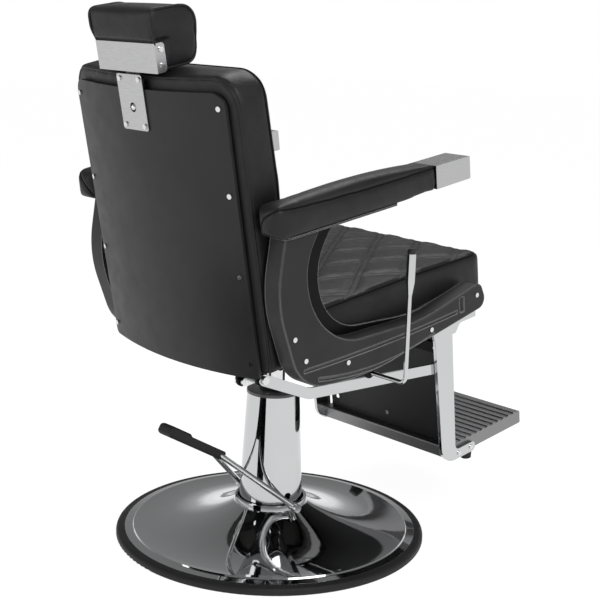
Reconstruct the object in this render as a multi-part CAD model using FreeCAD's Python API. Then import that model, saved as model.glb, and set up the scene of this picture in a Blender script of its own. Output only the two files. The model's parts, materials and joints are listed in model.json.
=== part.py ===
"""Hydraulic barber chair, in millimetres.

World frame: +Z up, the floor at z = 0, the column's axis on x = 0, y = 0.
The chair faces -Y, its back is towards +Y, and the sitter's right hand is at -X.

The seat unit is drawn square in its own seat frame, which has its origin on the column's axis at
seat_height, y towards the rear and z up, and is then tipped back by seat_tilt.
The backrest is drawn in its own frame at the back pivot, y towards its rear face and z up the back.
"""
import FreeCAD
import Part
import math
import os

Vector = FreeCAD.Vector
X_AXIS = Vector(1, 0, 0)
Y_AXIS = Vector(0, 1, 0)
Z_AXIS = Vector(0, 0, 1)

# Clearances
run_gap = 0.05          # radial play of a shaft in its bush
part_gap = 0.5          # play between curved faces on different bodies

# Base
base_radius = 335.0
rim_width = 19.0
rim_height = 16.0
dome_wall = 4.0
lip_width = 17.0
step_height = 3.0
dome_edge_height = 19.0
neck_radius = 78.0
neck_height = 84.0
neck_ring_height = 14.0
dome_sag = 19.0
base_plate_thickness = 8.0

# Pump and ram
pump_radius = 38.0
pump_bore_radius = 30.0
pump_floor = 10.0
pump_top = 312.0
ram_radius = 24.0
ram_spigot_radius = 20.0
ram_low_end = 96.0
piston_length = 32.0
gland_length = 30.0
shroud_bottom_radius = 69.0
shroud_top_radius = 56.5
shroud_bottom = 74.0
shroud_top = 318.0
shroud_wall = 2.5
cap_thickness = 8.0
seal_height = 6.0

# Foot pedal
pedal_pivot_y = 8.0
pedal_pivot_z = 81.0
pedal_eye_radius = 9.5
pedal_eye_inner = 83.0
pedal_eye_width = 9.0
pedal_bolt_radius = 6.0
pedal_rod_radius = 6.0
pedal_grip_start = (147.0, 206.0)
pedal_grip_end = (296.0, 292.0)
pedal_rod_spacing = 24.0
pedal_knee_depth = 15.0
pedal_grip_width = 38.0
pedal_grip_thickness = 19.0
pedal_grip_heel = 2.0
pedal_grip_toe = -5.0
pedal_grip_pad = 56.0

# Seat unit
seat_height = 575.0
seat_tilt = 8.3
seat_half_width = 248.0
seat_front = -376.0
seat_rear = 136.0
seat_front_corner = 26.0
seat_rear_corner = 25.0
cushion_thickness = 78.0
cushion_crown = 12.0
board_thickness = 12.0
board_inset = 12.0
rail_height = 30.0
rail_width = 30.0
rail_offset = 75.0
rail_front = -300.0
rail_rear = 112.0
cross_front = -290.0
cross_rear = 70.0
mount_plate_half = 104.0
mount_plate_thickness = 8.0
mount_bolt_spacing = 150.0
hub_radius = 34.0
hub_height = 50.6
bolt_radius = 5.0
bolt_head_radius = 8.5
bolt_head_height = 6.0
mount_plate_depth = cushion_thickness + board_thickness + rail_height + mount_plate_thickness
ram_shoulder_height = seat_height - mount_plate_depth / math.cos(math.radians(seat_tilt)) - hub_height
ram_spigot_length = 0.8 * hub_height

# Side plates and side panels
seat_side_gap = 6.0
side_plate_inner = seat_half_width + seat_side_gap
side_plate_thickness = 5.0
panel_inner = side_plate_inner + side_plate_thickness
panel_depth = 41.0
panel_outer = panel_inner + panel_depth
panel_wall = 5.0
groove_width = 7.0
window_depth = 2.5
boss_radius = 7.0
screw_radius = 2.2
screw_head_radius = 5.0
screw_head_height = 2.6
screw_length = 9.0
panel_arm_rear = 230.0
panel_arm_front = 143.0
panel_rear = 263.0
panel_rear_height = 66.0
panel_rear_bend = 230.0
panel_heel = 222.0
panel_heel_height = -118.0
panel_heel_bend = 90.0
panel_low = 47.0
panel_low_height = -145.0
panel_low_bend = 600.0
panel_nose = -323.0
panel_nose_height = -101.0
panel_nose_bend = 22.0
panel_lip = -304.0
panel_lip_height = -47.0
panel_lip_bend = 16.0
panel_dip = -123.0
panel_dip_height = -77.0
panel_dip_bend = 400.0
panel_throat = 179.0
panel_throat_height = -54.0
panel_throat_bend = 145.0
panel_neck = 184.0
panel_neck_height = 120.0
panel_neck_bend = 120.0
plate_reveal = 62.0

# Arms
arm_inset = 2.0
arm_width = 61.0
arm_inner = side_plate_inner + arm_inset
arm_outer = arm_inner + arm_width
arm_front = -160.0
arm_cap_length = 101.0
arm_cap_bottom = 188.0
arm_cap_top = 234.0
arm_bottom = 181.0
arm_top = 239.0
arm_rear = 268.0
arm_support_thickness = 4.0
arm_screw_front = -28.0
arm_screw_rear = 105.0

# Backrest
back_pivot_y = 194.0
back_pivot_z = -40.4
back_lean = 2.36
back_overhang = 2.0
back_half_width = seat_half_width + back_overhang
back_front = -46.0
back_taper = 18.0
back_corner = 60.0
back_bottom = -52.0
back_top = 522.0
back_top_slope = 7.5
bow_radius = 871.0
bow_apex = 99.6
back_panel_inset = 21.0
back_panel_half_width = back_half_width - back_panel_inset
back_panel_bottom = -57.0
back_panel_top = 488.0
back_panel_thickness = 6.0
back_panel_gap = 2.0
back_screw_inset = 14.0
back_screw_offset = back_panel_half_width - back_screw_inset
cavity_wall = 38.0
cavity_half_width = back_half_width - cavity_wall
back_board_front = 18.0
frame_tube = 20.0
frame_upright = 150.0
frame_top = 440.0
pivot_plate_inset = 34.0
pivot_plate_inner = back_half_width - pivot_plate_inset
pivot_plate_thickness = 6.0
pivot_pin_radius = 8.0

# Headrest
plate_width = 77.0
plate_height = 105.0
plate_thickness = 2.5
plate_top = 515.0
plate_hole = 453.0
plate_hole_radius = 9.0
plate_screw_inset = 9.0
detent_ball_radius = 6.5
detent_body_radius = 7.0
post_width = 40.0
post_thickness = 6.0
post_rear = 92.0
post_low_end = 310.0
guide_wall = 2.5
guide_bottom = 300.0
guide_top = 440.0
headrest_half_width = 88.0
headrest_bottom = 521.0
headrest_top = 638.0
headrest_swell = 11.0
headrest_front = 2.0
headrest_rear = 100.0
bracket_thickness = 2.5
bracket_height = 54.0
bracket_ear_depth = 24.0

# Recline link, footrest pivot and legs
link_arm_y = 28.0
link_arm_z = -80.8
leg_pivot_y = -297.0
leg_pivot_z = -174.7
link_thickness = 5.0
link_clearance = 1.2
link_height = 23.0
link_bend_y = 110.0
link_bend_z = -187.0
link_bolt_radius = 5.0
lug_gap = 0.5
leg_inner = 197.7
link_inner = leg_inner - link_thickness - link_clearance
leg_thickness = 8.0
leg_rear_top = -259.0
leg_rear_bottom = -264.0
leg_front_top = -315.0
leg_front_bottom = -309.0
leg_bottom = -487.0
leg_tab_front = -376.0
leg_tab_height = 23.0
leg_pin_radius = 7.0
bracket_plate_inner = leg_inner + leg_thickness + lug_gap
bracket_plate_thickness = 5.0
bracket_plate_front = -388.0
bracket_plate_rear = -249.0
bracket_plate_bottom = -184.0
bracket_step_rear = -319.0
bracket_step_front = -335.0
bracket_arm_bottom = -165.0

# Foot plate and calf panel
foot_front = -551.0
foot_rear = -290.0
foot_top = -454.0
foot_thickness = 29.5
foot_skin = 7.0
foot_wall = 6.0
rib_pitch = 19.2
rib_width = 9.0
rib_height = 3.0
rib_count = 12
calf_rear = -308.0
calf_thickness = 11.0
calf_top = -205.0
calf_side_gap = 8.7
calf_half_width = leg_inner - calf_side_gap
crossbar_thickness = 6.0
crossbar_height = 25.0
crossbar_z = -225.0
foot_lip_height = 45.0
foot_lip_thickness = 5.0
foot_lip_screw_height = 30.0
buffer_radius = 15.0
buffer_height = 29.0
buffer_y = -374.0

# Gas spring and release lever
gas_x = -135.0
gas_reach = 97.0
gas_lead_angle = 20.0
gas_radius = 11.0
gas_wall = 2.5
gas_front = 10.0
gas_rear = 130.0
gas_rod_radius = 5.0
gas_pin_radius = 5.0
gas_pin_play = 3.4
gas_line_z = -134.5
release_y = -18.3
release_z = -172.4
release_rod_radius = 4.5
release_inner = 128.0
release_clearance = 21.0
release_outer = arm_outer + release_clearance
release_bend_radius = 14.0
release_grip_low = 178.0
release_height = 270.0
release_grip_radius = 9.0
release_plug_radius = 6.0
release_plug_depth = 16.0
release_plug_height = 10.0
lever_bracket_inset = 86.0
lever_bracket_length = 75.0
lever_bracket_depth = 22.0
lever_bracket_x = lever_bracket_inset - seat_half_width


def rounded_wire(points, to_space):
    """Closed wire through (a, b, radius) corners, each rounded by its radius."""
    count = len(points)
    starts = []
    ends = []
    mids = []
    for index in range(count):
        a, b, radius = points[index]
        before = points[index - 1]
        after = points[(index + 1) % count]
        corner = Vector(a, b, 0)
        to_before = (Vector(before[0], before[1], 0) - corner).normalize()
        to_after = (Vector(after[0], after[1], 0) - corner).normalize()
        half = to_before.getAngle(to_after) / 2.0
        if radius <= 0 or abs(half - math.pi / 2) < 1e-6:
            starts.append(corner)
            ends.append(corner)
            mids.append(None)
            continue
        reach = radius / math.tan(half)
        centre = corner + (to_before + to_after).normalize() * (radius / math.sin(half))
        starts.append(corner + to_before * reach)
        ends.append(corner + to_after * reach)
        mids.append(centre + (corner - centre).normalize() * radius)
    edges = []
    for index in range(count):
        if mids[index] is not None:
            arc = Part.Arc(to_space(starts[index]), to_space(mids[index]), to_space(ends[index]))
            edges.append(arc.toShape())
        line_start = ends[index]
        line_end = starts[(index + 1) % count]
        if (line_end - line_start).Length > 1e-6:
            edges.append(Part.makeLine(to_space(line_start), to_space(line_end)))
    return Part.Wire(Part.__sortEdges__(edges))


def plate_x(points, x_low, x_high):
    """Plate with a (y, z, radius) outline, between two x planes."""
    wire = rounded_wire(points, lambda p: Vector(x_low, p.x, p.y))
    return Part.Face(wire).extrude(Vector(x_high - x_low, 0, 0))


def plate_y(points, y_low, y_high):
    """Plate with an (x, z, radius) outline, between two y planes."""
    wire = rounded_wire(points, lambda p: Vector(p.x, y_low, p.y))
    return Part.Face(wire).extrude(Vector(0, y_high - y_low, 0))


def plate_z(points, z_low, z_high):
    """Plate with an (x, y, radius) outline, between two z planes."""
    wire = rounded_wire(points, lambda p: Vector(p.x, p.y, z_low))
    return Part.Face(wire).extrude(Vector(0, 0, z_high - z_low))


def rectangle(a_low, a_high, b_low, b_high, radius=0.0):
    return [(a_low, b_low, radius), (a_high, b_low, radius),
            (a_high, b_high, radius), (a_low, b_high, radius)]


def box(x_low, x_high, y_low, y_high, z_low, z_high):
    size = Vector(x_high - x_low, y_high - y_low, z_high - z_low)
    return Part.makeBox(size.x, size.y, size.z, Vector(x_low, y_low, z_low))


def rod(start, end, radius, bore=0.0):
    """Round bar or tube between two points."""
    axis = end - start
    bar = Part.makeCylinder(radius, axis.Length, start, axis)
    if bore > 0:
        bar = bar.cut(Part.makeCylinder(bore, axis.Length, start, axis))
    return bar


def rod_x(x_low, x_high, y, z, radius, bore=0.0):
    return rod(Vector(x_low, y, z), Vector(x_high, y, z), radius, bore)


def turned(points):
    """Solid of revolution about Z from (radius, z, corner radius) corners."""
    wire = rounded_wire(points, lambda p: Vector(p.x, 0, p.y))
    return Part.Face(wire).revolve(Vector(0, 0, 0), Z_AXIS, 360)


def mirrored(shape):
    return shape.mirror(Vector(0, 0, 0), X_AXIS)


def both_sides(shape):
    return Part.makeCompound([shape, mirrored(shape)])


def fused(shapes):
    result = shapes[0]
    for shape in shapes[1:]:
        result = result.fuse(shape)
    return result.removeSplitter()


def cut_all(shape, tools):
    for tool in tools:
        shape = shape.cut(tool)
    return shape


def in_seat(shape):
    """Moves a shape from the seat frame to the world."""
    moved = shape.copy()
    moved.rotate(Vector(0, 0, 0), X_AXIS, -seat_tilt)
    moved.translate(Vector(0, 0, seat_height))
    return moved


def in_back(shape):
    """Moves a shape from the backrest frame to the world."""
    moved = shape.copy()
    moved.rotate(Vector(0, 0, 0), X_AXIS, -back_lean)
    moved.translate(Vector(0, back_pivot_y, back_pivot_z))
    return in_seat(moved)


def screw(place, direction, length=screw_length):
    """Pan head screw: place is on the face under the head, direction points out of the face."""
    head = Part.makeCylinder(screw_head_radius, screw_head_height, place, direction)
    shank = Part.makeCylinder(screw_radius, length, place - direction * length, direction)
    return fused([head, shank])


def bolt(place, direction, length, radius=bolt_radius, head_radius=bolt_head_radius):
    """Bolt with a round head: place is under the head, direction points from shank to head."""
    head = Part.makeCylinder(head_radius, bolt_head_height, place, direction)
    shank = Part.makeCylinder(radius, length, place - direction * length, direction)
    return fused([head, shank])


parts = {}


def seat_point(y, z):
    """World (y, z) of a seat frame point."""
    tilt = math.radians(seat_tilt)
    world_y = y * math.cos(tilt) + z * math.sin(tilt)
    world_z = seat_height - y * math.sin(tilt) + z * math.cos(tilt)
    return world_y, world_z


def back_point(y, z):
    """Backrest frame (y, z) of a point given from the back pivot in the seat frame."""
    lean = math.radians(back_lean)
    back_y = y * math.cos(lean) - z * math.sin(lean)
    back_z = y * math.sin(lean) + z * math.cos(lean)
    return back_y, back_z


def bow_at(offset, depth=0.0):
    """Rear surface of the bowed back panel at x = offset, depth in from the outside."""
    radius = bow_radius - depth
    return bow_apex - depth - (radius - math.sqrt(radius * radius - offset * offset))


def arc(first, middle, last):
    return Part.Arc(first, middle, last).toShape()


# Base


def make_base():
    lip_outer = base_radius - rim_width
    step_radius = lip_outer - lip_width
    bell_rise = dome_edge_height + step_height
    ring_low = neck_height - neck_ring_height
    neck_inner = neck_radius - dome_wall - 2.0

    def at(radius, z):
        return Vector(radius, 0, z)

    def bell(outer, inner, drop):
        mid_radius = (outer + inner) / 2.0
        mid_height = (bell_rise + ring_low) / 2.0 - dome_sag - drop
        return arc(at(outer, bell_rise - drop), at(mid_radius, mid_height), at(inner, ring_low - drop))

    outline = [
        at(lip_outer, 2.0), at(lip_outer, dome_edge_height - 2.0), at(step_radius, dome_edge_height),
        at(step_radius - 2.0, bell_rise)]
    neck = [
        at(neck_radius + 2.0, ring_low), at(neck_radius, ring_low + 2.0), at(neck_radius, neck_height),
        at(neck_inner, neck_height), at(neck_inner, ring_low - dome_wall)]
    skirt = [
        at(step_radius - 2.0 - dome_wall, bell_rise - dome_wall),
        at(lip_outer - dome_wall, dome_edge_height - dome_wall - 1.5), at(lip_outer - dome_wall, 2.0)]
    edges = [Part.makeLine(a, b) for a, b in zip(outline, outline[1:])]
    edges.append(bell(step_radius - 2.0, neck_radius + 2.0, 0.0))
    edges += [Part.makeLine(a, b) for a, b in zip(neck, neck[1:])]
    edges.append(bell(step_radius - 2.0 - dome_wall, neck_inner, dome_wall))
    edges += [Part.makeLine(a, b) for a, b in zip(skirt, skirt[1:])]
    edges.append(Part.makeLine(skirt[-1], outline[0]))
    section = Part.Face(Part.Wire(Part.__sortEdges__(edges)))
    dome = section.revolve(Vector(0, 0, 0), Z_AXIS, 360)
    for side in (-1, 1):
        hole = rod_x(side * 50.0, side * 100.0, pedal_pivot_y, pedal_pivot_z, pedal_bolt_radius)
        dome = dome.cut(hole)
    parts["base_dome"] = dome

    parts["base_rubber_rim"] = turned([
        (lip_outer, 0, 0), (base_radius, 0, 4), (base_radius, rim_height, 8),
        (lip_outer, rim_height + 1.0, 0)])

    hub_wall = 26.0
    hub_height = 60.0
    plate_radius = lip_outer - dome_wall
    plate_low = 0.0
    parts["base_plate"] = turned([
        (pump_radius, plate_low, 0), (plate_radius, plate_low, 0),
        (plate_radius, plate_low + base_plate_thickness, 0),
        (pump_radius + hub_wall + 6.0, plate_low + base_plate_thickness, 8),
        (pump_radius + hub_wall, hub_height, 2), (pump_radius, hub_height, 0)])


def make_pump():
    plate_low = 0.0
    body = turned([
        (0, plate_low, 0), (pump_radius, plate_low, 0), (pump_radius, pump_top, 0),
        (pump_bore_radius, pump_top, 0), (pump_bore_radius, plate_low + pump_floor, 0),
        (0, plate_low + pump_floor, 0)])
    boss_reach = 60.0
    boss = rod_x(-boss_reach, boss_reach, pedal_pivot_y, pedal_pivot_z, 12.0)
    boss = boss.cut(Part.makeCylinder(pump_radius - 1.0, pump_top))
    body = body.fuse(boss)
    bolts = []
    shank_start = pump_radius + 6.0
    shank_end = pedal_eye_inner + pedal_eye_width + part_gap
    for side in (-1, 1):
        shank = rod_x(side * shank_start, side * shank_end, pedal_pivot_y, pedal_pivot_z,
                      pedal_bolt_radius)
        head = rod_x(side * shank_end, side * (shank_end + 5.0), pedal_pivot_y, pedal_pivot_z, 9.0)
        body = body.cut(shank)
        bolts.append(fused([shank, head]))
    parts["pump_cylinder"] = body
    parts["pedal_pivot_bolts"] = Part.makeCompound(bolts)

    gland_flange = 4.0
    parts["pump_gland"] = turned([
        (ram_radius + run_gap, pump_top - gland_length, 0), (pump_bore_radius, pump_top - gland_length, 0),
        (pump_bore_radius, pump_top, 0), (pump_radius, pump_top, 0),
        (pump_radius, pump_top + gland_flange, 0), (ram_radius + run_gap, pump_top + gland_flange, 0)])

    height = shroud_top - shroud_bottom
    outer = Part.makeCone(shroud_bottom_radius, shroud_top_radius, height, Vector(0, 0, shroud_bottom))
    inner = Part.makeCone(shroud_bottom_radius - shroud_wall, shroud_top_radius - shroud_wall, height,
                          Vector(0, 0, shroud_bottom))
    shroud = outer.cut(inner)
    window_radius = 8.0
    window_rise = 19.0
    for side in (-1, 1):
        hole = rod_x(side * 40.0, side * 90.0, pedal_pivot_y, pedal_pivot_z, pedal_bolt_radius)
        window = rod_x(side * 40.0, side * 90.0, pedal_pivot_y + 3.0, pedal_pivot_z + window_rise,
                       window_radius)
        shroud = cut_all(shroud, [hole, window])
    parts["pump_shroud"] = shroud

    cap_radius = shroud_top_radius + 1.0
    parts["shroud_cap"] = turned([
        (ram_radius + 1.0, shroud_top, 0), (cap_radius, shroud_top, 0),
        (cap_radius, shroud_top + cap_thickness, 3), (ram_radius + 1.0, shroud_top + cap_thickness, 0)])
    seal_base = shroud_top + cap_thickness
    parts["ram_wiper_seal"] = turned([
        (ram_radius + part_gap, seal_base, 0), (ram_radius + 7.0, seal_base, 0),
        (ram_radius + 3.0, seal_base + seal_height, 1), (ram_radius + part_gap, seal_base + seal_height, 0)])


def make_ram():
    ram_tube_bore = 15.0
    spigot_top = ram_shoulder_height + ram_spigot_length
    parts["ram"] = turned([
        (ram_tube_bore, ram_low_end, 0), (ram_radius, ram_low_end, 0),
        (ram_radius, ram_shoulder_height, 0), (ram_spigot_radius, ram_shoulder_height, 0),
        (ram_spigot_radius, spigot_top, 1.5), (ram_tube_bore, spigot_top, 0)])
    piston = turned([
        (0, ram_low_end - piston_length, 0), (pump_bore_radius - run_gap, ram_low_end - piston_length, 2),
        (pump_bore_radius - run_gap, ram_low_end, 0), (0, ram_low_end, 0)])
    groove = turned([
        (pump_bore_radius - 4.0, ram_low_end - 20.0, 0), (pump_bore_radius + 1.0, ram_low_end - 20.0, 0),
        (pump_bore_radius + 1.0, ram_low_end - 12.0, 0), (pump_bore_radius - 4.0, ram_low_end - 12.0, 0)])
    parts["ram_piston"] = piston.cut(groove)


def make_pedal():
    eye_centre = pedal_eye_inner + pedal_eye_width / 2.0
    rod_side = pedal_rod_spacing / 2.0
    grip_y, grip_z = pedal_grip_start
    end_y, end_z = pedal_grip_end
    length = math.hypot(end_y - grip_y, end_z - grip_z)
    knee_share = pedal_knee_depth / length
    knee_y = grip_y + (end_y - grip_y) * knee_share
    knee_z = grip_z + (end_z - grip_z) * knee_share
    arms = []
    cores = []
    for side in (-1, 1):
        pivot = Vector(side * eye_centre, pedal_pivot_y, pedal_pivot_z)
        knee = Vector(side * rod_side, knee_y, knee_z)
        tip = Vector(side * rod_side, end_y, end_z) + (knee - Vector(side * rod_side, end_y, end_z)) * 0.12
        eye = rod_x(side * pedal_eye_inner, side * (pedal_eye_inner + pedal_eye_width),
                    pedal_pivot_y, pedal_pivot_z, pedal_eye_radius)
        bore = rod_x(side * (pedal_eye_inner - 20.0), side * (pedal_eye_inner + pedal_eye_width + 1.0),
                     pedal_pivot_y, pedal_pivot_z, pedal_bolt_radius + run_gap)
        start = pivot + (knee - pivot).normalize() * (pedal_bolt_radius + 2.0)
        lower = rod(start, knee, pedal_rod_radius)
        upper = rod(knee, tip, pedal_rod_radius)
        ball = Part.makeSphere(pedal_rod_radius, knee)
        arms.append(fused([eye, lower, ball, upper]).cut(bore))
        cores += [lower, ball, upper]
    tie = rod_x(-rod_side, rod_side, grip_y + (end_y - grip_y) * 0.5, grip_z + (end_z - grip_z) * 0.5,
                pedal_rod_radius - 1.0)
    parts["pedal_fork"] = fused(arms + [tie])

    slope = math.degrees(math.atan2(end_z - grip_z, end_y - grip_y))
    half = pedal_grip_thickness / 2.0
    heel = pedal_grip_heel
    toe = length + pedal_grip_toe
    pad_start = toe - pedal_grip_pad
    pad_rise = 4.5
    grip = plate_x([
        (heel, -half, 6), (toe, -half, 8), (toe, half + pad_rise, 9), (pad_start, half + pad_rise, 4),
        (pad_start - 4.0, half, 4), (heel, half, 6)], -pedal_grip_width / 2, pedal_grip_width / 2)
    ends = plate_y(rectangle(-pedal_grip_width / 2, pedal_grip_width / 2, -half, half + pad_rise, 6.0),
                   heel, toe)
    grip = grip.common(ends)
    rib_step = 11.0
    rib_start = heel + 10.0
    for index in range(8):
        rib_y = rib_start + index * rib_step
        notch = box(-pedal_grip_width, pedal_grip_width, rib_y, rib_y + 4.0, half - 1.5, half + 10.0)
        grip = grip.cut(notch)
    grip.rotate(Vector(0, 0, 0), X_AXIS, slope)
    grip.translate(Vector(0, grip_y, grip_z))
    parts["pedal_grip"] = cut_all(grip, cores + [tie])


# Seat unit


def make_seat():
    board_top = -cushion_thickness
    board_low = board_top - board_thickness
    rail_low = board_low - rail_height
    plate_low = rail_low - mount_plate_thickness
    tube_wall = 2.5

    cushion = plate_z([
        (-seat_half_width, seat_front, seat_front_corner), (seat_half_width, seat_front, seat_front_corner),
        (seat_half_width, seat_rear, seat_rear_corner), (-seat_half_width, seat_rear, seat_rear_corner)],
        board_low, cushion_crown)
    top_edges = [edge for edge in cushion.Edges if edge.BoundBox.ZMin > cushion_crown - 0.1]
    board_half = seat_half_width - board_inset
    board = plate_z(rectangle(
        -board_half, board_half, seat_front + board_inset, seat_rear - board_inset, seat_rear_corner),
        board_low, board_top)
    parts["seat_cushion"] = in_seat(cushion.makeFillet(22.0, top_edges).cut(board))
    parts["seat_board"] = in_seat(board)

    rails = []
    hollows = []
    for side in (-1, 1):
        low = min(side * rail_offset, side * (rail_offset + rail_width))
        high = low + rail_width
        rails.append(box(low, high, rail_front, rail_rear, rail_low, board_low))
        hollows.append(box(low + tube_wall, high - tube_wall, rail_front - 1, rail_rear + 1,
                           rail_low + tube_wall, board_low - tube_wall))
    cross_half = side_plate_inner
    for start in (cross_front, cross_rear):
        rails.append(box(-cross_half, cross_half, start, start + rail_width, rail_low, board_low))
        hollows.append(box(-cross_half - 1, cross_half + 1, start + tube_wall,
                           start + rail_width - tube_wall, rail_low + tube_wall, board_low - tube_wall))
    clamp = plate_y([
        (gas_x - 16.0, rail_low + 1.0, 0), (gas_x - 16.0, gas_line_z - 16.0, 15),
        (gas_x + 16.0, gas_line_z - 16.0, 15), (gas_x + 16.0, rail_low + 1.0, 0)],
        cross_rear + 3.0, cross_rear + rail_width - 3.0)
    frame = fused(rails + [clamp])
    frame = cut_all(frame, hollows)
    spring_hole = rod(Vector(gas_x, cross_rear, gas_line_z),
                      Vector(gas_x, cross_rear + rail_width, gas_line_z), gas_radius)
    frame = frame.cut(spring_hole)

    plate_centre = -plate_low * math.tan(math.radians(seat_tilt))
    plate = plate_z(rectangle(-mount_plate_half, mount_plate_half, plate_centre - mount_plate_half,
                              plate_centre + mount_plate_half, 12.0), plate_low, rail_low)
    bolt_x = rail_offset + rail_width / 2.0
    bolts = []
    holes = []
    for side in (-1, 1):
        for end in (-1, 1):
            place = Vector(side * bolt_x, plate_centre + end * mount_bolt_spacing / 2.0, plate_low)
            bolts.append(bolt(place, Vector(0, 0, -1), mount_plate_thickness + 8.0))
            holes.append(Part.makeCylinder(bolt_radius, mount_plate_thickness + 8.0, place, Z_AXIS))
    parts["seat_mount_plate"] = in_seat(cut_all(plate, holes))
    parts["mount_plate_bolts"] = in_seat(Part.makeCompound(bolts))
    parts["seat_frame"] = in_seat(cut_all(frame, holes))

    hub_low = ram_shoulder_height + 0.3
    bore_top = ram_shoulder_height + ram_spigot_length + 1.5
    hub = Part.makeCylinder(hub_radius, hub_height + hub_radius, Vector(0, 0, hub_low))
    above = in_seat(box(-mount_plate_half, mount_plate_half, plate_centre - mount_plate_half,
                        plate_centre + mount_plate_half, plate_low, plate_low + 2.0 * hub_radius))
    bore = Part.makeCylinder(ram_spigot_radius + run_gap, bore_top - hub_low, Vector(0, 0, hub_low))
    parts["swivel_hub"] = cut_all(hub, [above, bore])


def side_panel_wire(x):
    """Outline of the side panel's outer face: a C that opens forward under the arm."""
    top = arm_bottom - arm_support_thickness - part_gap
    corners = [
        (panel_arm_rear, top, 0), (panel_rear, panel_rear_height, panel_rear_bend),
        (panel_heel, panel_heel_height, panel_heel_bend), (panel_low, panel_low_height, panel_low_bend),
        (panel_nose, panel_nose_height, panel_nose_bend), (panel_lip, panel_lip_height, panel_lip_bend),
        (panel_dip, panel_dip_height, panel_dip_bend),
        (panel_throat, panel_throat_height, panel_throat_bend),
        (panel_neck, panel_neck_height, panel_neck_bend), (panel_arm_front, top, 0)]
    return rounded_wire(corners, lambda p: Vector(x, p.x, p.y))


side_panel_screws = [
    (panel_rear - 35.0, -14), (panel_heel - 17.0, -63), (panel_low + 50.0, panel_low_height + 45.0),
    (panel_dip - 20.0, panel_dip_height - 28.0), (panel_nose + 35.0, panel_nose_height + 30.0)]


def make_side_panel():
    depth = panel_outer - panel_inner
    block = Part.Face(side_panel_wire(-panel_outer)).extrude(Vector(depth, 0, 0))
    top = arm_bottom - arm_support_thickness - part_gap
    outer_edges = [edge for edge in block.Edges
                   if edge.BoundBox.XMax < -panel_outer + 0.1 and edge.BoundBox.ZMin < top - 1.0]
    shell = block.makeFillet(3.0, outer_edges)
    inside = side_panel_wire(-panel_outer + panel_wall).makeOffset2D(-panel_wall)
    hollow = Part.Face(inside).extrude(Vector(depth, 0, 0))
    shell = shell.cut(hollow)

    floor = -panel_outer
    lower_groove = arc(Vector(floor, panel_heel - 47, panel_low_height + 35),
                       Vector(floor, panel_low, panel_low_height + 14),
                       Vector(floor, panel_dip - 30, panel_low_height + 27))
    upper_groove = arc(Vector(floor, panel_heel - 12, panel_low_height + 62),
                       Vector(floor, panel_low - 40, panel_low_height + 53),
                       Vector(floor, panel_nose + 98, panel_low_height + 54))
    for path, radius in ((lower_groove, groove_width / 2.0), (upper_groove, groove_width / 2.0)):
        start = path.Curve.value(path.FirstParameter)
        tangent = path.Curve.tangent(path.FirstParameter)[0]
        ring = Part.Wire(Part.makeCircle(radius, start, tangent))
        cutter = Part.Wire(path).makePipeShell([ring], True, False)
        shell = shell.cut(cutter)
    window = plate_x(rectangle(panel_nose + 75, panel_nose + 89, panel_nose_height + 5,
                               panel_nose_height + 38, 3.0), -panel_outer - 1.0, -panel_outer + window_depth)
    shell = shell.cut(window)

    screws = []
    for y, z in side_panel_screws:
        boss = rod_x(-panel_outer + panel_wall - 0.5, -panel_inner, y, z, boss_radius)
        shell = shell.fuse(boss.common(block))
        hole = rod_x(-panel_outer - 1, -panel_outer + screw_length, y, z, screw_radius)
        shell = shell.cut(hole)
        screws.append(screw(Vector(-panel_outer, y, z), Vector(-1, 0, 0)))
    panel = in_seat(shell.removeSplitter())
    parts["side_panel_right"] = panel
    parts["side_panel_left"] = mirrored(panel)
    parts["side_panel_screws"] = both_sides(in_seat(Part.makeCompound(screws)))


def make_side_plate():
    low = side_plate_inner
    high = side_plate_inner + side_plate_thickness
    support_low = arm_bottom - arm_support_thickness
    web = plate_x([
        (panel_nose + 33, panel_nose_height - 3, 6), (panel_nose + 33, panel_lip_height - 9, 6),
        (panel_dip, panel_dip_height + 3, 300), (panel_throat - plate_reveal - 5, panel_throat_height + 14, 110),
        (panel_neck - plate_reveal + 2, panel_neck_height - 20, 120), (panel_arm_front - 83, support_low + 1, 0),
        (panel_arm_rear - 8, support_low + 1, 0), (panel_rear - 25, 20, 60), (panel_heel + 8, -60, 40),
        (panel_heel - 66, panel_heel_height - 4, 60), (panel_dip, panel_heel_height, 60)],
        -high, -low)
    support = plate_z(rectangle(-arm_outer + 8.0, -low, arm_screw_front - 32.0, panel_arm_rear, 10.0),
                      support_low, arm_bottom)
    plate = fused([web, support])
    pivot = rod_x(-high - 1, -low + 1, back_pivot_y, back_pivot_z, pivot_pin_radius)
    plate = plate.cut(pivot)
    screws = []
    for screw_y in (arm_screw_front, arm_screw_rear):
        place = Vector(-panel_outer + 8.0, screw_y, support_low)
        plate = plate.cut(Part.makeCylinder(screw_radius, arm_support_thickness, place, Z_AXIS))
        screws.append(screw(place, Vector(0, 0, -1), 16.0))
    placed = in_seat(plate)
    parts["side_plate_right"] = placed
    parts["side_plate_left"] = mirrored(placed)
    parts["arm_support_screws"] = both_sides(in_seat(Part.makeCompound(screws)))


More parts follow.
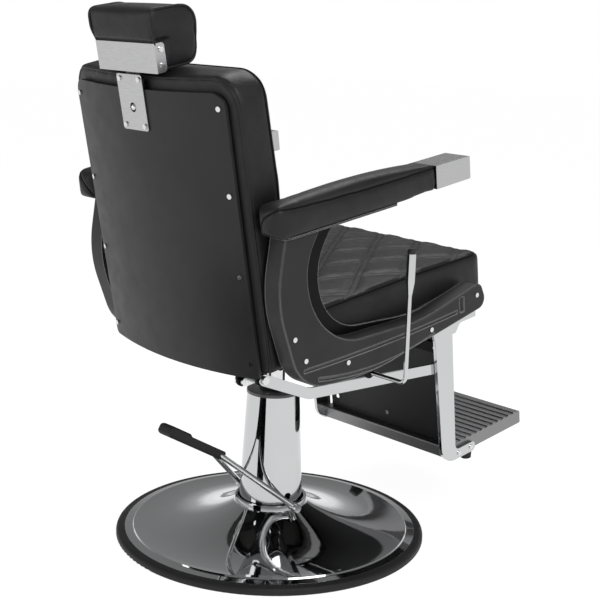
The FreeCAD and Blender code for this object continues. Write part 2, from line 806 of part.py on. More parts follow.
def make_arm():
    half = (arm_outer - arm_inner) / 2.0
    side = plate_x([
        (arm_front, arm_cap_bottom - 1.0, 0), (arm_front + 85.0, arm_bottom, 0), (arm_rear, arm_bottom, 26),
        (arm_rear, arm_top + 6.0, 28), (arm_rear - 78.0, arm_top + 5.0, 120),
        (arm_rear - 208.0, arm_top + 1.0, 300), (arm_front, arm_top - 3.0, 0)], -arm_outer, -arm_inner)
    plan = plate_z([
        (-arm_outer, arm_front, 0), (-arm_outer, arm_rear, half - 0.2), (-arm_inner, arm_rear, half - 0.2),
        (-arm_inner, arm_front, 0)], arm_bottom - 5.0, arm_top + 15.0)
    ends = plate_y([
        (-arm_outer, arm_bottom, 5), (-arm_outer, arm_top + 8.0, 15), (-arm_inner, arm_top + 8.0, 15),
        (-arm_inner, arm_bottom, 5)], arm_front, arm_rear)
    pad = side.common(plan).common(ends)
    for screw_y in (arm_screw_front, arm_screw_rear):
        place = Vector(-panel_outer + 8.0, screw_y, arm_bottom)
        pad = pad.cut(Part.makeCylinder(screw_radius, 16.0 - arm_support_thickness, place, Z_AXIS))
    cap_wall = 2.5
    front = arm_front - arm_cap_length
    core = box(-arm_outer - 0.8 + cap_wall, -arm_inner + 0.8 - cap_wall, front + cap_wall, arm_front + 1.0,
               arm_cap_bottom + cap_wall, arm_cap_top - cap_wall)
    pad = pad.fuse(core)
    parts["arm_pad_right"] = in_seat(pad)
    parts["arm_pad_left"] = mirrored(parts["arm_pad_right"])

    cap = plate_x([
        (arm_front, arm_cap_bottom - 1.0, 0), (front, arm_cap_bottom, 3), (front, arm_cap_top, 3),
        (arm_front, arm_cap_top, 0)], -arm_outer - 0.8, -arm_inner + 0.8)
    parts["arm_cap_right"] = in_seat(cap.cut(core))
    parts["arm_cap_left"] = mirrored(parts["arm_cap_right"])


def make_pivot_pins():
    """Pins of the backrest hinge and of the footrest hinge, both held by the seat unit."""
    plate_face = side_plate_inner + side_plate_thickness
    back_pin = rod_x(-plate_face, -pivot_plate_inner + 2.0, back_pivot_y, back_pivot_z, pivot_pin_radius)
    back_head = rod_x(-plate_face - 6.0, -plate_face, back_pivot_y, back_pivot_z, 13.0)
    leg_pin = rod_x(-bracket_plate_inner - 3.3, -leg_inner + part_gap, leg_pivot_y, leg_pivot_z,
                    leg_pin_radius)
    leg_head = rod_x(-leg_inner + part_gap, -leg_inner + 7.0, leg_pivot_y, leg_pivot_z, 12.0)
    pins = Part.makeCompound([fused([back_pin, back_head]), fused([leg_pin, leg_head])])
    parts["hinge_pins"] = both_sides(in_seat(pins))


def make_footrest_brackets():
    board_low = -cushion_thickness - board_thickness
    rail_low = board_low - rail_height
    plate = plate_x([
        (bracket_plate_rear, board_low, 0), (bracket_plate_rear, bracket_plate_bottom, 4),
        (bracket_step_rear, bracket_plate_bottom, 8), (bracket_step_front, bracket_arm_bottom, 12),
        (bracket_plate_front, bracket_arm_bottom, 4), (bracket_plate_front, bracket_arm_bottom + 23.0, 16),
        (bracket_step_front + 5.0, board_low, 0)],
        -bracket_plate_inner - bracket_plate_thickness, -bracket_plate_inner)
    tube = box(-side_plate_inner, side_plate_inner, cross_front, cross_front + rail_width,
               rail_low, board_low)
    pin = rod_x(-bracket_plate_inner - 3.3, -bracket_plate_inner, leg_pivot_y, leg_pivot_z, leg_pin_radius)
    parts["footrest_brackets"] = both_sides(in_seat(cut_all(plate, [tube, pin])))


# Backrest


def make_back_cushion():
    inner_apex = back_panel_thickness + back_panel_gap
    rear_side = bow_at(back_half_width, inner_apex)
    rear_mid = bow_at(0.0, inner_apex)
    half = back_half_width
    height = back_top - back_bottom

    def at(x, y):
        return Vector(x, y, back_bottom)

    edges = [
        Part.makeLine(at(-half, back_front - 1.0), at(half, back_front - 1.0)),
        Part.makeLine(at(half, back_front - 1.0), at(half, rear_side)),
        arc(at(half, rear_side), at(0, rear_mid), at(-half, rear_side)),
        Part.makeLine(at(-half, rear_side), at(-half, back_front - 1.0))]
    rear_form = Part.Face(Part.Wire(Part.__sortEdges__(edges))).extrude(Vector(0, 0, height))
    corners = [
        (-half, back_front, 34), (half, back_front, 34), (half, bow_apex + 60.0, 0),
        (-half, bow_apex + 60.0, 0)]
    plan = Part.Face(rounded_wire(corners, lambda p: at(p.x, p.y)))
    body = rear_form.common(plan.extrude(Vector(0, back_taper, height)))
    top_front = back_front + back_taper
    side_view = plate_x([
        (back_front - 1.0, back_bottom, 46), (bow_apex + 5.0, back_bottom, 0),
        (bow_apex + 5.0, back_top - back_top_slope, 14), (top_front - 4.0, back_top, 22)],
        -half - 1, half + 1)
    body = body.common(side_view)
    front_view = plate_y([
        (-half, back_bottom, 12), (half, back_bottom, 12), (half, back_top, back_corner),
        (-half, back_top, back_corner)], back_front - 1, bow_apex + 10)
    body = body.common(front_view)

    cavity = box(-cavity_half_width, cavity_half_width, back_board_front, bow_apex + 20,
                 back_bottom - 20, back_panel_top - 22)
    post_slot = box(-post_width / 2 - part_gap, post_width / 2 + part_gap,
                    post_rear - post_thickness - part_gap, bow_apex + 20, back_panel_top - 30,
                    back_top + 10)
    body = cut_all(body, [cavity, post_slot])
    for side in (-1, 1):
        low = min(side * (pivot_plate_inner - 4.0), side * (pivot_plate_inner + pivot_plate_thickness + 3.0))
        high = low + pivot_plate_thickness + 7.0
        body = body.cut(box(low, high, -22, back_board_front + 35, back_bottom - 1, 64))
        body = body.cut(rod_x(side * cavity_half_width, side * (back_half_width + 10.0), 0, 0, pivot_pin_radius + 3.0))
    parts["back_cushion"] = in_back(body)

    board_half = cavity_half_width - 6.0
    parts["back_board"] = in_back(plate_y(rectangle(
        -board_half, board_half, -40.0, back_panel_top - 30.0, 20.0),
        back_board_front, back_board_front + board_thickness))


def make_back_frame():
    low = back_board_front + board_thickness
    high = low + frame_tube
    bottom = back_bottom + 8.0
    uprights = []
    for side in (-1, 1):
        start = min(side * frame_upright, side * (frame_upright + frame_tube))
        uprights.append(box(start, start + frame_tube, low, high, bottom, frame_top))
    lower = box(-pivot_plate_inner, pivot_plate_inner, low, high, bottom, bottom + frame_tube)
    upper = box(-frame_upright, frame_upright, low, high, frame_top - frame_tube, frame_top)
    guide_front = post_rear - post_thickness - part_gap - guide_wall
    spacer = box(-15, 15, high, guide_front, frame_top - frame_tube, frame_top)

    pivot_plate = plate_x([
        (-17, -17, 15), (-17, 17, 15), (low, 60, 10), (high, 60, 3), (high, bottom, 3),
        (low - 4.0, bottom, 10)], -pivot_plate_inner - pivot_plate_thickness, -pivot_plate_inner)
    pivot_bore = rod_x(-pivot_plate_inner - pivot_plate_thickness - 1, -pivot_plate_inner + 1, 0, 0,
                       pivot_pin_radius + run_gap)
    pivot_plate = pivot_plate.cut(pivot_bore)

    link_y, link_z = back_point(link_arm_y, link_arm_z)
    lug_outer = link_inner - lug_gap
    lug = plate_x([
        (link_y - 13, link_z - 13, 12.5), (link_y + 13, link_z - 13, 12.5), (high, bottom, 6),
        (high, bottom + frame_tube, 0), (low, bottom + frame_tube, 0), (low, bottom, 6),
        (link_y - 13, link_z + 13, 4)], -lug_outer, -lug_outer + 6.0)
    lug = lug.cut(rod_x(-lug_outer - 1, -lug_outer + 7, link_y, link_z, link_bolt_radius))

    lead = math.radians(gas_lead_angle)
    gas_y, gas_z = back_point(gas_reach * math.sin(lead), -gas_reach * math.cos(lead))
    gas_lug = plate_x([
        (gas_y - 14, gas_z - 14, 13.5), (gas_y + 14, gas_z - 14, 13.5), (high, bottom, 6),
        (high, bottom + frame_tube, 0), (low, bottom + frame_tube, 0), (low, bottom, 6),
        (gas_y - 14, gas_z + 14, 4)], gas_x - 3.0, gas_x + 3.0)
    gas_lug = gas_lug.cut(rod_x(gas_x - 4, gas_x + 4, gas_y, gas_z, gas_pin_radius + gas_pin_play))

    sides = [pivot_plate, mirrored(pivot_plate), lug, mirrored(lug)]
    parts["back_frame"] = in_back(fused(uprights + [lower, upper, spacer, gas_lug] + sides))

    head_start = link_inner + link_thickness + lug_gap
    shank = rod_x(-head_start, -lug_outer + 6.0, link_y, link_z, link_bolt_radius)
    head = rod_x(-head_start - 5.0, -head_start, link_y, link_z, 8.0)
    parts["link_rear_bolts"] = both_sides(in_back(fused([shank, head])))


right_screw_heights = (-26.0, 146.5, 301.0, 460.0)
left_screw_heights = (-30.0, 139.0, 288.0, 460.0)


def make_back_panel():
    half = back_panel_half_width
    wide = half + 10.0

    def at(x, depth):
        return Vector(x, bow_at(x, depth), back_panel_bottom)

    edges = [
        arc(at(-wide, 0), at(0, 0), at(wide, 0)),
        Part.makeLine(at(wide, 0), at(wide, back_panel_thickness)),
        arc(at(wide, back_panel_thickness), at(0, back_panel_thickness), at(-wide, back_panel_thickness)),
        Part.makeLine(at(-wide, back_panel_thickness), at(-wide, 0))]
    plan = Part.Face(Part.Wire(Part.__sortEdges__(edges)))
    panel = plan.extrude(Vector(0, 0, back_panel_top - back_panel_bottom))
    outline = plate_y([
        (-half, back_panel_bottom, 10), (half, back_panel_bottom, 10),
        (half, back_panel_top, 30), (-half, back_panel_top, 30)], 0, bow_apex + 20)
    panel = panel.common(outline)

    screws = []
    for side, heights in ((-1, right_screw_heights), (1, left_screw_heights)):
        for z in heights:
            x = side * back_screw_offset
            slope = math.asin(x / bow_radius)
            outward = Vector(math.sin(slope), math.cos(slope), 0)
            place = Vector(x, bow_at(x), z)
            screws.append(screw(place, outward, back_panel_thickness))
            panel = panel.cut(Part.makeCylinder(screw_radius, back_panel_thickness * 2,
                                                place - outward * back_panel_thickness * 1.5, outward))
    hole = Part.makeCylinder(plate_hole_radius, 60.0, Vector(0, 70, plate_hole), Y_AXIS)
    panel = panel.cut(hole)
    plate_low = plate_top - plate_height

    plate = plate_y(rectangle(-plate_width / 2, plate_width / 2, plate_low, plate_top, 5.0),
                    bow_apex, bow_apex + plate_thickness)
    plate = plate.cut(hole)
    plate_screws = []
    face = bow_apex + plate_thickness
    for x in (-plate_width / 2 + plate_screw_inset, plate_width / 2 - plate_screw_inset):
        for z in (plate_low + plate_screw_inset, plate_top - plate_screw_inset):
            place = Vector(x, face, z)
            plate_screws.append(screw(place, Y_AXIS, plate_thickness + 3.0))
            tool = Part.makeCylinder(screw_radius, plate_thickness + 3.0, place - Y_AXIS * 5.5, Y_AXIS)
            plate = plate.cut(tool)
            panel = panel.cut(tool)
    parts["back_panel"] = in_back(panel)
    parts["back_panel_screws"] = in_back(Part.makeCompound(screws))
    parts["headrest_plate"] = in_back(plate)
    parts["headrest_plate_screws"] = in_back(Part.makeCompound(plate_screws))

    flange_start = bow_apex - back_panel_thickness + 0.5
    flange = Part.makeCylinder(plate_hole_radius, 1.5, Vector(0, flange_start, plate_hole), Y_AXIS)
    collar = Part.makeCylinder(detent_body_radius, 3.5, Vector(0, flange_start, plate_hole), Y_AXIS)
    knob_base = flange.fuse(collar)
    dome = Part.makeSphere(detent_ball_radius, Vector(0, bow_apex - 1.0, plate_hole))
    cut_half = box(-20, 20, 0, flange_start + 3.0, plate_hole - 20, plate_hole + 20)
    nose = Part.makeCylinder(3.5, 6.0, Vector(0, post_rear + part_gap, plate_hole), Y_AXIS)
    parts["detent_knob"] = in_back(fused([knob_base, nose, dome.cut(cut_half)]))


def make_headrest():
    post_front = post_rear - post_thickness
    guide_side = post_width / 2 + part_gap
    guide_front = post_front - part_gap
    guide = box(-guide_side - guide_wall, guide_side + guide_wall, guide_front - guide_wall,
                post_rear + part_gap, guide_bottom, guide_top)
    guide = guide.cut(box(-guide_side, guide_side, guide_front, post_rear + 10, guide_bottom - 1,
                          guide_top + 1))
    parts["headrest_guide"] = in_back(guide)

    post_top = headrest_bottom + bracket_height - 8.0
    post = plate_y(rectangle(-post_width / 2, post_width / 2, post_low_end, post_top, 4.0),
                   post_front, post_rear)
    notch_pitch = 30.0
    for index in range(4):
        notch = Part.makeCylinder(4.0, 3.0, Vector(0, post_rear - 1.5, plate_hole - index * notch_pitch),
                                  Y_AXIS)
        post = post.cut(notch)
    parts["headrest_post"] = in_back(post)

    half = headrest_half_width
    outer = half + bracket_thickness
    rear = headrest_rear + bracket_thickness
    bracket_low = headrest_bottom - 1.0
    bracket_top = bracket_low + bracket_height
    channel = plate_z([
        (-outer, rear - bracket_ear_depth, 0), (-outer, rear, 3), (outer, rear, 3),
        (outer, rear - bracket_ear_depth, 0), (half, rear - bracket_ear_depth, 0),
        (half, headrest_rear, 0), (-half, headrest_rear, 0), (-half, rear - bracket_ear_depth, 0)],
        bracket_low, bracket_top)
    ear_shape = plate_x([
        (rear - bracket_ear_depth, bracket_low, 7), (rear + 1, bracket_low, 0), (rear + 1, bracket_top, 0),
        (rear - bracket_ear_depth, bracket_top, 7)], -outer - 1, outer + 1)
    channel = channel.common(ear_shape)

    wide = half + headrest_swell
    deep = headrest_rear + 0.6 * headrest_swell
    side = plate_x([
        (headrest_front, headrest_bottom, 24), (headrest_rear, headrest_bottom, 2),
        (headrest_rear, bracket_top, 0), (deep, bracket_top + 22.0, 20), (deep, headrest_top, 12),
        (headrest_front, headrest_top - 6.0, 30)], -wide, wide)
    front = plate_y([
        (-half, headrest_bottom, 6), (half, headrest_bottom, 6), (half, bracket_top, 0),
        (wide, bracket_top + 22.0, 20), (wide, headrest_top, 8), (-wide, headrest_top, 8),
        (-wide, bracket_top + 22.0, 20), (-half, bracket_top, 0)], headrest_front, deep)
    pad = side.common(front)
    slot = box(-post_width / 2, post_width / 2, post_front, post_rear, headrest_bottom - 1, post_top)
    pad = pad.cut(slot)
    screws = []
    for side in (-1, 1):
        for z in (bracket_low + 13.0, bracket_top - 12.0):
            place = Vector(side * outer, rear - bracket_ear_depth + 9.0, z)
            outward = Vector(side, 0, 0)
            screws.append(screw(place, outward, 10.0))
            tool = rod(place - outward * 10.0, place, screw_radius)
            channel = channel.cut(tool)
            pad = pad.cut(tool)
    parts["headrest_bracket"] = in_back(channel)
    parts["headrest_pad"] = in_back(pad)
    parts["headrest_bracket_screws"] = in_back(Part.makeCompound(screws))


# Recline link, footrest, gas spring and release lever


def bar_outline(centres, half_width):
    """Outline of a flat bar with round ends that follows a few centre points."""
    points = [Vector(y, z, 0) for y, z in centres]
    left = []
    right = []
    for index, point in enumerate(points):
        before = points[max(index - 1, 0)]
        after = points[min(index + 1, len(points) - 1)]
        along = (after - before).normalize()
        if index == 0:
            point = point - along * half_width
        if index == len(points) - 1:
            point = point + along * half_width
        across = Vector(-along.y, along.x, 0)
        if 0 < index < len(points) - 1:
            bend = (point - before).getAngle(after - point)
            reach = half_width / math.cos(bend / 2.0)
            radius = 45.0
        else:
            reach = half_width
            radius = half_width * 0.98
        left.append((point.x + across.x * reach, point.y + across.y * reach, radius))
        right.append((point.x - across.x * reach, point.y - across.y * reach, radius))
    return left + right[::-1]


def make_links():
    front = (leg_pivot_y + link_arm_y, leg_pivot_z + link_arm_z)
    rear = (back_pivot_y + link_arm_y, back_pivot_z + link_arm_z)
    outline = bar_outline([front, (link_bend_y, link_bend_z), rear], link_height / 2.0)
    bar = plate_x(outline, -link_inner - link_thickness, -link_inner)
    for place, play in ((front, part_gap), (rear, run_gap)):
        bar = bar.cut(rod_x(-link_inner - link_thickness - 1, -link_inner + 1, place[0], place[1],
                            link_bolt_radius + play))
    parts["link_bars"] = both_sides(in_seat(bar))

    stud = rod_x(-leg_inner - 4.0, -link_inner + lug_gap, front[0], front[1], link_bolt_radius)
    nut = rod_x(-link_inner + lug_gap, -link_inner + 6.0, front[0], front[1], 8.5)
    parts["link_front_studs"] = both_sides(in_seat(fused([stud, nut])))
    return front


def make_footrest(stud_place):
    leg = plate_x([
        (leg_rear_top, leg_pivot_z + 12.0, 16), (leg_rear_bottom, leg_bottom, 42),
        (leg_tab_front, leg_bottom, 10), (leg_tab_front, leg_bottom + leg_tab_height, 10),
        (leg_front_bottom, leg_bottom + leg_tab_height, 12), (leg_front_top, leg_pivot_z + 12.0, 16)],
        -leg_inner - leg_thickness, -leg_inner)
    leg = leg.cut(rod_x(-leg_inner - leg_thickness - 1, -leg_inner + 1, leg_pivot_y, leg_pivot_z,
                        leg_pin_radius + run_gap))
    leg = leg.cut(rod_x(-leg_inner - 4.0, -leg_inner + 1, stud_place[0], stud_place[1], link_bolt_radius))

    foot_low = foot_top - foot_thickness
    side = leg_inner
    profile = [(foot_rear, foot_low, 4), (foot_rear, foot_top, 4)]
    first_rib = foot_rear - 45.0
    for index in range(rib_count):
        rib_y = first_rib - index * rib_pitch
        if rib_y - rib_width < foot_front + 3.0:
            break
        profile += [(rib_y, foot_top, 0), (rib_y - 1.5, foot_top + rib_height, 0),
                    (rib_y - rib_width + 1.5, foot_top + rib_height, 0), (rib_y - rib_width, foot_top, 0)]
    profile += [(foot_front, foot_top, 2), (foot_front, foot_low, 3)]
    lip_rear = calf_rear - calf_thickness
    lip = plate_y([
        (-calf_half_width, foot_top - 1.0, 0), (calf_half_width, foot_top - 1.0, 0),
        (calf_half_width, foot_top + foot_lip_height, 8), (-calf_half_width, foot_top + foot_lip_height, 8)],
        lip_rear - foot_lip_thickness, lip_rear)
    foot = plate_x(profile, -side, side).fuse(lip)
    buffer_zone = 34.0
    web_half = 3.0
    for half in (-1, 1):
        low = min(half * web_half, half * (side - buffer_zone))
        high = max(half * web_half, half * (side - buffer_zone))
        foot = foot.cut(box(low, high, foot_front + foot_wall, foot_rear - foot_wall, foot_low - 1,
                            foot_top - foot_skin))

    screws = []
    for screw_y in (-320.0, -361.5):
        z = leg_bottom + leg_tab_height / 2.0
        place = Vector(-leg_inner - leg_thickness, screw_y, z)
        tool = rod(place, place + Vector(leg_thickness + 12.0, 0, 0), screw_radius)
        leg = leg.cut(tool)
        foot = cut_all(foot, [tool, mirrored(tool)])
        screws.append(screw(place, Vector(-1, 0, 0), leg_thickness + 12.0))
        screws.append(mirrored(screws[-1]))

    calf_low = foot_top
    calf = plate_y([
        (-calf_half_width, calf_low, 0), (calf_half_width, calf_low, 0),
        (calf_half_width, calf_top, 14), (-calf_half_width, calf_top, 14)],
        calf_rear - calf_thickness, calf_rear)
    bar_rear = calf_rear + crossbar_thickness
    bar = box(-leg_inner, leg_inner, calf_rear, bar_rear,
              crossbar_z - crossbar_height / 2, crossbar_z + crossbar_height / 2)
    upper_shank = crossbar_thickness + calf_thickness - 2.0
    lower_shank = calf_thickness + foot_lip_thickness - 1.0
    screw_x = calf_half_width - 24.0
    for x in (-screw_x, 0.0, screw_x):
        upper_place = Vector(x, bar_rear, crossbar_z)
        lower_place = Vector(x, calf_rear, foot_top + foot_lip_screw_height)
        upper_tool = rod(upper_place - Y_AXIS * upper_shank, upper_place, screw_radius)
        lower_tool = rod(lower_place - Y_AXIS * lower_shank, lower_place, screw_radius)
        calf = cut_all(calf, [upper_tool, lower_tool])
        bar = bar.cut(upper_tool)
        foot = foot.cut(lower_tool)
        screws.append(screw(upper_place, Y_AXIS, upper_shank))
        screws.append(screw(lower_place, Y_AXIS, lower_shank))
    parts["footrest_crossbars"] = in_seat(bar)

    parts["footrest_leg_right"] = in_seat(leg)
    parts["footrest_leg_left"] = mirrored(parts["footrest_leg_right"])
    parts["foot_plate"] = in_seat(foot)
    parts["calf_panel"] = in_seat(calf)
    parts["footrest_screws"] = in_seat(Part.makeCompound(screws))
    buffer = Part.makeCone(buffer_radius - 3.0, buffer_radius, buffer_height,
                           Vector(-side + buffer_radius + 4.0, buffer_y, foot_low - buffer_height))
    parts["rubber_buffers"] = both_sides(in_seat(buffer))


def make_gas_spring():
    guide = 8.0
    centre = Vector(gas_x, 0, gas_line_z)
    tube = rod(centre + Y_AXIS * gas_front, centre + Y_AXIS * gas_rear, gas_radius)
    bore = rod(centre + Y_AXIS * (gas_front + guide), centre + Y_AXIS * (gas_rear - guide),
               gas_radius - gas_wall)
    rod_hole = rod(centre + Y_AXIS * (gas_rear - guide - 1), centre + Y_AXIS * (gas_rear + 1),
                   gas_rod_radius + run_gap)
    valve = rod(centre - Y_AXIS * 5.5, centre + Y_AXIS * (gas_front + 1), 2.5)
    parts["gas_spring_cylinder"] = in_seat(fused([cut_all(tube, [bore, rod_hole]), valve]))

    pin_y = back_pivot_y + gas_reach * math.sin(math.radians(gas_lead_angle))
    stroke_start = gas_front + guide + 82.0
    shaft = rod(centre + Y_AXIS * stroke_start, centre + Y_AXIS * (pin_y - 22.0), gas_rod_radius)
    piston = rod(centre + Y_AXIS * (stroke_start - 10.0), centre + Y_AXIS * stroke_start,
                 gas_radius - gas_wall - run_gap)
    fork_base = box(gas_x - 12, gas_x + 12, pin_y - 26.0, pin_y - 18.0, gas_line_z - 9, gas_line_z + 9)
    cheek = plate_x([
        (pin_y - 26.0, gas_line_z - 9, 0), (pin_y + 9.5, gas_line_z - 9, 8.5),
        (pin_y + 9.5, gas_line_z + 9, 8.5), (pin_y - 26.0, gas_line_z + 9, 0)], gas_x - 12, gas_x - 4)
    other = cheek.copy()
    other.translate(Vector(16, 0, 0))
    pin = rod_x(gas_x - 12, gas_x + 12, pin_y, gas_line_z, gas_pin_radius)
    parts["gas_spring_rod"] = in_seat(fused([shaft, piston, fork_base, cheek, other, pin]))


def make_release_lever():
    shaft_y, shaft_z = seat_point(release_y, release_z)
    bend = release_bend_radius
    corner_x = -release_outer
    start = Vector(-release_inner, shaft_y, shaft_z)
    knee = Vector(corner_x + bend, shaft_y, shaft_z)
    rise = Vector(corner_x, shaft_y, shaft_z + bend)
    turn = bend * (1.0 - math.sqrt(0.5))
    middle = Vector(corner_x + turn, shaft_y, shaft_z + turn)
    grip_low = Vector(corner_x, shaft_y, shaft_z + release_grip_low)
    grip_top = shaft_z + release_height
    path = Part.Wire([Part.makeLine(start, knee), arc(knee, middle, rise), Part.makeLine(rise, grip_low)])
    ring = Part.Wire(Part.makeCircle(release_rod_radius, start, Vector(-1, 0, 0)))
    bar = path.makePipeShell([ring], True, False)
    finger_top = in_seat(Part.Vertex(gas_x, release_y, gas_line_z + 7.0)).Point
    finger_span = finger_top - Vector(gas_x, shaft_y, shaft_z)
    finger = rod(Vector(gas_x, shaft_y, shaft_z), Vector(gas_x, shaft_y, shaft_z) + finger_span, 3.5)
    taper = 26.0
    sleeve_length = grip_top - grip_low.z - release_plug_height
    sleeve = turned([
        (0, 0, 0), (release_rod_radius + 0.5, 0, 0), (release_grip_radius, taper, 30),
        (release_grip_radius, sleeve_length, 0), (0, sleeve_length, 0)])
    socket = Part.makeCylinder(release_plug_radius, release_plug_depth,
                               Vector(0, 0, sleeve_length - release_plug_depth))
    sleeve = sleeve.cut(socket)
    sleeve.translate(grip_low)
    parts["release_lever"] = fused([bar, finger, sleeve])

    plug = turned([
        (0, sleeve_length - release_plug_depth, 0), (release_plug_radius, sleeve_length - release_plug_depth, 1),
        (release_plug_radius, sleeve_length, 0), (release_grip_radius, sleeve_length, 0),
        (release_grip_radius, sleeve_length + release_plug_height, 5), (0, sleeve_length + release_plug_height, 0)])
    plug.translate(grip_low)
    parts["release_grip"] = plug

    board_low = -cushion_thickness - board_thickness
    cheeks = []
    bores = []
    for x in (lever_bracket_x, lever_bracket_x - lever_bracket_length):
        cheeks.append(plate_x([
            (release_y - 15, board_low, 0), (release_y - 12, release_z - 12, 11.5),
            (release_y + 12, release_z - 12, 11.5), (release_y + 15, board_low, 0)], x - 5, x))
        bores.append(rod_x(x - 6, x + 1, release_y, release_z, release_rod_radius + run_gap))
    top = box(lever_bracket_x - lever_bracket_length - 5, lever_bracket_x, release_y - lever_bracket_depth,
              release_y + lever_bracket_depth, board_low - 4, board_low)
    parts["lever_bracket"] = in_seat(cut_all(fused(cheeks + [top]), bores))


make_base()
make_pump()
make_ram()
make_pedal()
make_seat()
make_side_panel()
make_side_plate()
make_arm()
make_pivot_pins()
make_footrest_brackets()
make_back_cushion()
make_back_frame()
make_back_panel()
make_headrest()
make_footrest(make_links())
make_gas_spring()
make_release_lever()

os.makedirs("parts", exist_ok=True)
for name, shape in parts.items():
    shape.exportStep("parts/" + name + ".step")
    state = "valid" if shape.isValid() else "NOT VALID"
    print(name, len(shape.Solids), "solids", state, round(shape.Volume / 1000.0, 1), "cm3")
print(len(parts), "nodes")
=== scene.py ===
import json
import math

import bmesh
import bpy
import numpy as np
from mathutils import Matrix, Vector
from mathutils.bvhtree import BVHTree
from mathutils.kdtree import KDTree


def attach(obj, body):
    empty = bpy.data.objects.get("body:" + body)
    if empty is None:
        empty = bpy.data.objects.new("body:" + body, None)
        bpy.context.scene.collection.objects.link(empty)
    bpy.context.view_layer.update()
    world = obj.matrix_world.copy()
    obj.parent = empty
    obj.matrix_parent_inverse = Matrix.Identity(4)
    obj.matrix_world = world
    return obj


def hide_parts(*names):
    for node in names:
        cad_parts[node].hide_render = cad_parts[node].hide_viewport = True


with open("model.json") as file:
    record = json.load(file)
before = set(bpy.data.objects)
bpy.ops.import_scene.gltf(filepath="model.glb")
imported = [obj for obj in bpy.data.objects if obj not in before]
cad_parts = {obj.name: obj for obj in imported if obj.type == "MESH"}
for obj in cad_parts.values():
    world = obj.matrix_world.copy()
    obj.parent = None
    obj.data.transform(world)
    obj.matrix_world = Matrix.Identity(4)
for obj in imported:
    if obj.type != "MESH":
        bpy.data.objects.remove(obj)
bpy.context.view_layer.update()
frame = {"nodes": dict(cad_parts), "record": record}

nodes = frame["nodes"]
scene = bpy.context.scene

# Lengths are in metres. X is across the chair, Y from front to rear and Z up.

X, Y, Z = range(3)

# Frames of the seat unit and of the backrest

SEAT_HEIGHT = 0.575
SEAT_TILT = math.radians(8.3)
BACK_LEAN = math.radians(2.36)
BACK_PIVOT = (0.194, -0.0404)


def seat_matrix():
    """Seat frame to row frame."""
    return Matrix.Translation((0, 0, SEAT_HEIGHT)) @ Matrix.Rotation(-SEAT_TILT, 4, "X")


def back_matrix():
    """Backrest frame to row frame."""
    pivot = Matrix.Translation((0, BACK_PIVOT[0], BACK_PIVOT[1]))
    return seat_matrix() @ pivot @ Matrix.Rotation(-BACK_LEAN, 4, "X")


SEAT = seat_matrix()
BACK = back_matrix()


# Materials

TEXTURE_SPAN = (0.3, 0.7)
BEVEL_SAMPLES = 4


def new_material(name):
    """A material, its node tree and its main shader."""
    material = bpy.data.materials.new(name)
    material.use_nodes = True
    tree = material.node_tree
    return material, tree, tree.nodes["Principled BSDF"]


def add(tree, kind, **settings):
    """A node with its properties set, or its sockets of that name."""
    node = tree.nodes.new(kind)
    for key, value in settings.items():
        if hasattr(node, key):
            setattr(node, key, value)
        else:
            node.inputs[key.replace("_", " ").title()].default_value = value
    return node


def noise_at(tree, scale, detail, stretch=(1, 1, 1)):
    """Noise texture on the object's own coordinates, and the mapping that it reads."""
    place = tree.nodes.new("ShaderNodeTexCoord")
    mapping = add(tree, "ShaderNodeMapping", scale=stretch)
    tree.links.new(place.outputs["Object"], mapping.inputs["Vector"])
    noise = add(tree, "ShaderNodeTexNoise", scale=scale, detail=detail)
    tree.links.new(mapping.outputs["Vector"], noise.inputs["Vector"])
    return noise, mapping


def drive(tree, noise, socket, low, high):
    """Sets a shader's socket by a noise, from a low to a high colour or level."""
    node = tree.nodes.new("ShaderNodeValToRGB")
    for element, position, value in zip(node.color_ramp.elements, TEXTURE_SPAN, (low, high)):
        element.position = position
        element.color = (*value, 1) if isinstance(value, tuple) else (value, value, value, 1)
    tree.links.new(noise.outputs["Fac"], node.inputs["Fac"])
    tree.links.new(node.outputs["Color"], socket)


def scaled(colour, factor):
    """The same colour, darker or lighter."""
    return tuple(factor * part for part in colour)


def rounded_normal(tree, radius):
    """Normals rounded near edges."""
    bevel = add(tree, "ShaderNodeBevel", samples=BEVEL_SAMPLES, radius=radius)
    return bevel.outputs["Normal"]


def emboss(tree, shader, height, strength, distance, edge=0.0):
    """Bump on a surface. With an edge radius, the edges catch light as rounded ones do."""
    bump = add(tree, "ShaderNodeBump", strength=strength, distance=distance)
    tree.links.new(height, bump.inputs["Height"])
    tree.links.new(bump.outputs["Normal"], shader.inputs["Normal"])
    if edge:
        tree.links.new(rounded_normal(tree, edge), bump.inputs["Normal"])


def leather(name, colour):
    """Black upholstery leather: fine pebble grain, soft creases and a dull sheen."""
    material, tree, shader = new_material(name)
    shader.inputs["Specular IOR Level"].default_value = 0.28
    tone, mapping = noise_at(tree, scale=14.0, detail=4.0)
    drive(tree, tone, shader.inputs["Base Color"], scaled(colour, 0.75), scaled(colour, 1.35))
    wear, _ = noise_at(tree, scale=45.0, detail=5.0)
    drive(tree, wear, shader.inputs["Roughness"], 0.40, 0.54)
    pebble = add(tree, "ShaderNodeTexVoronoi", feature="SMOOTH_F1", scale=620.0)
    tree.links.new(mapping.outputs["Vector"], pebble.inputs["Vector"])
    fine, _ = noise_at(tree, scale=260.0, detail=4.0)
    grain = add(tree, "ShaderNodeMath", operation="MULTIPLY_ADD")
    tree.links.new(pebble.outputs["Distance"], grain.inputs[0])
    grain.inputs[1].default_value = 0.7
    tree.links.new(fine.outputs["Fac"], grain.inputs[2])
    emboss(tree, shader, grain.outputs[0], strength=0.35, distance=0.0006)
    return material


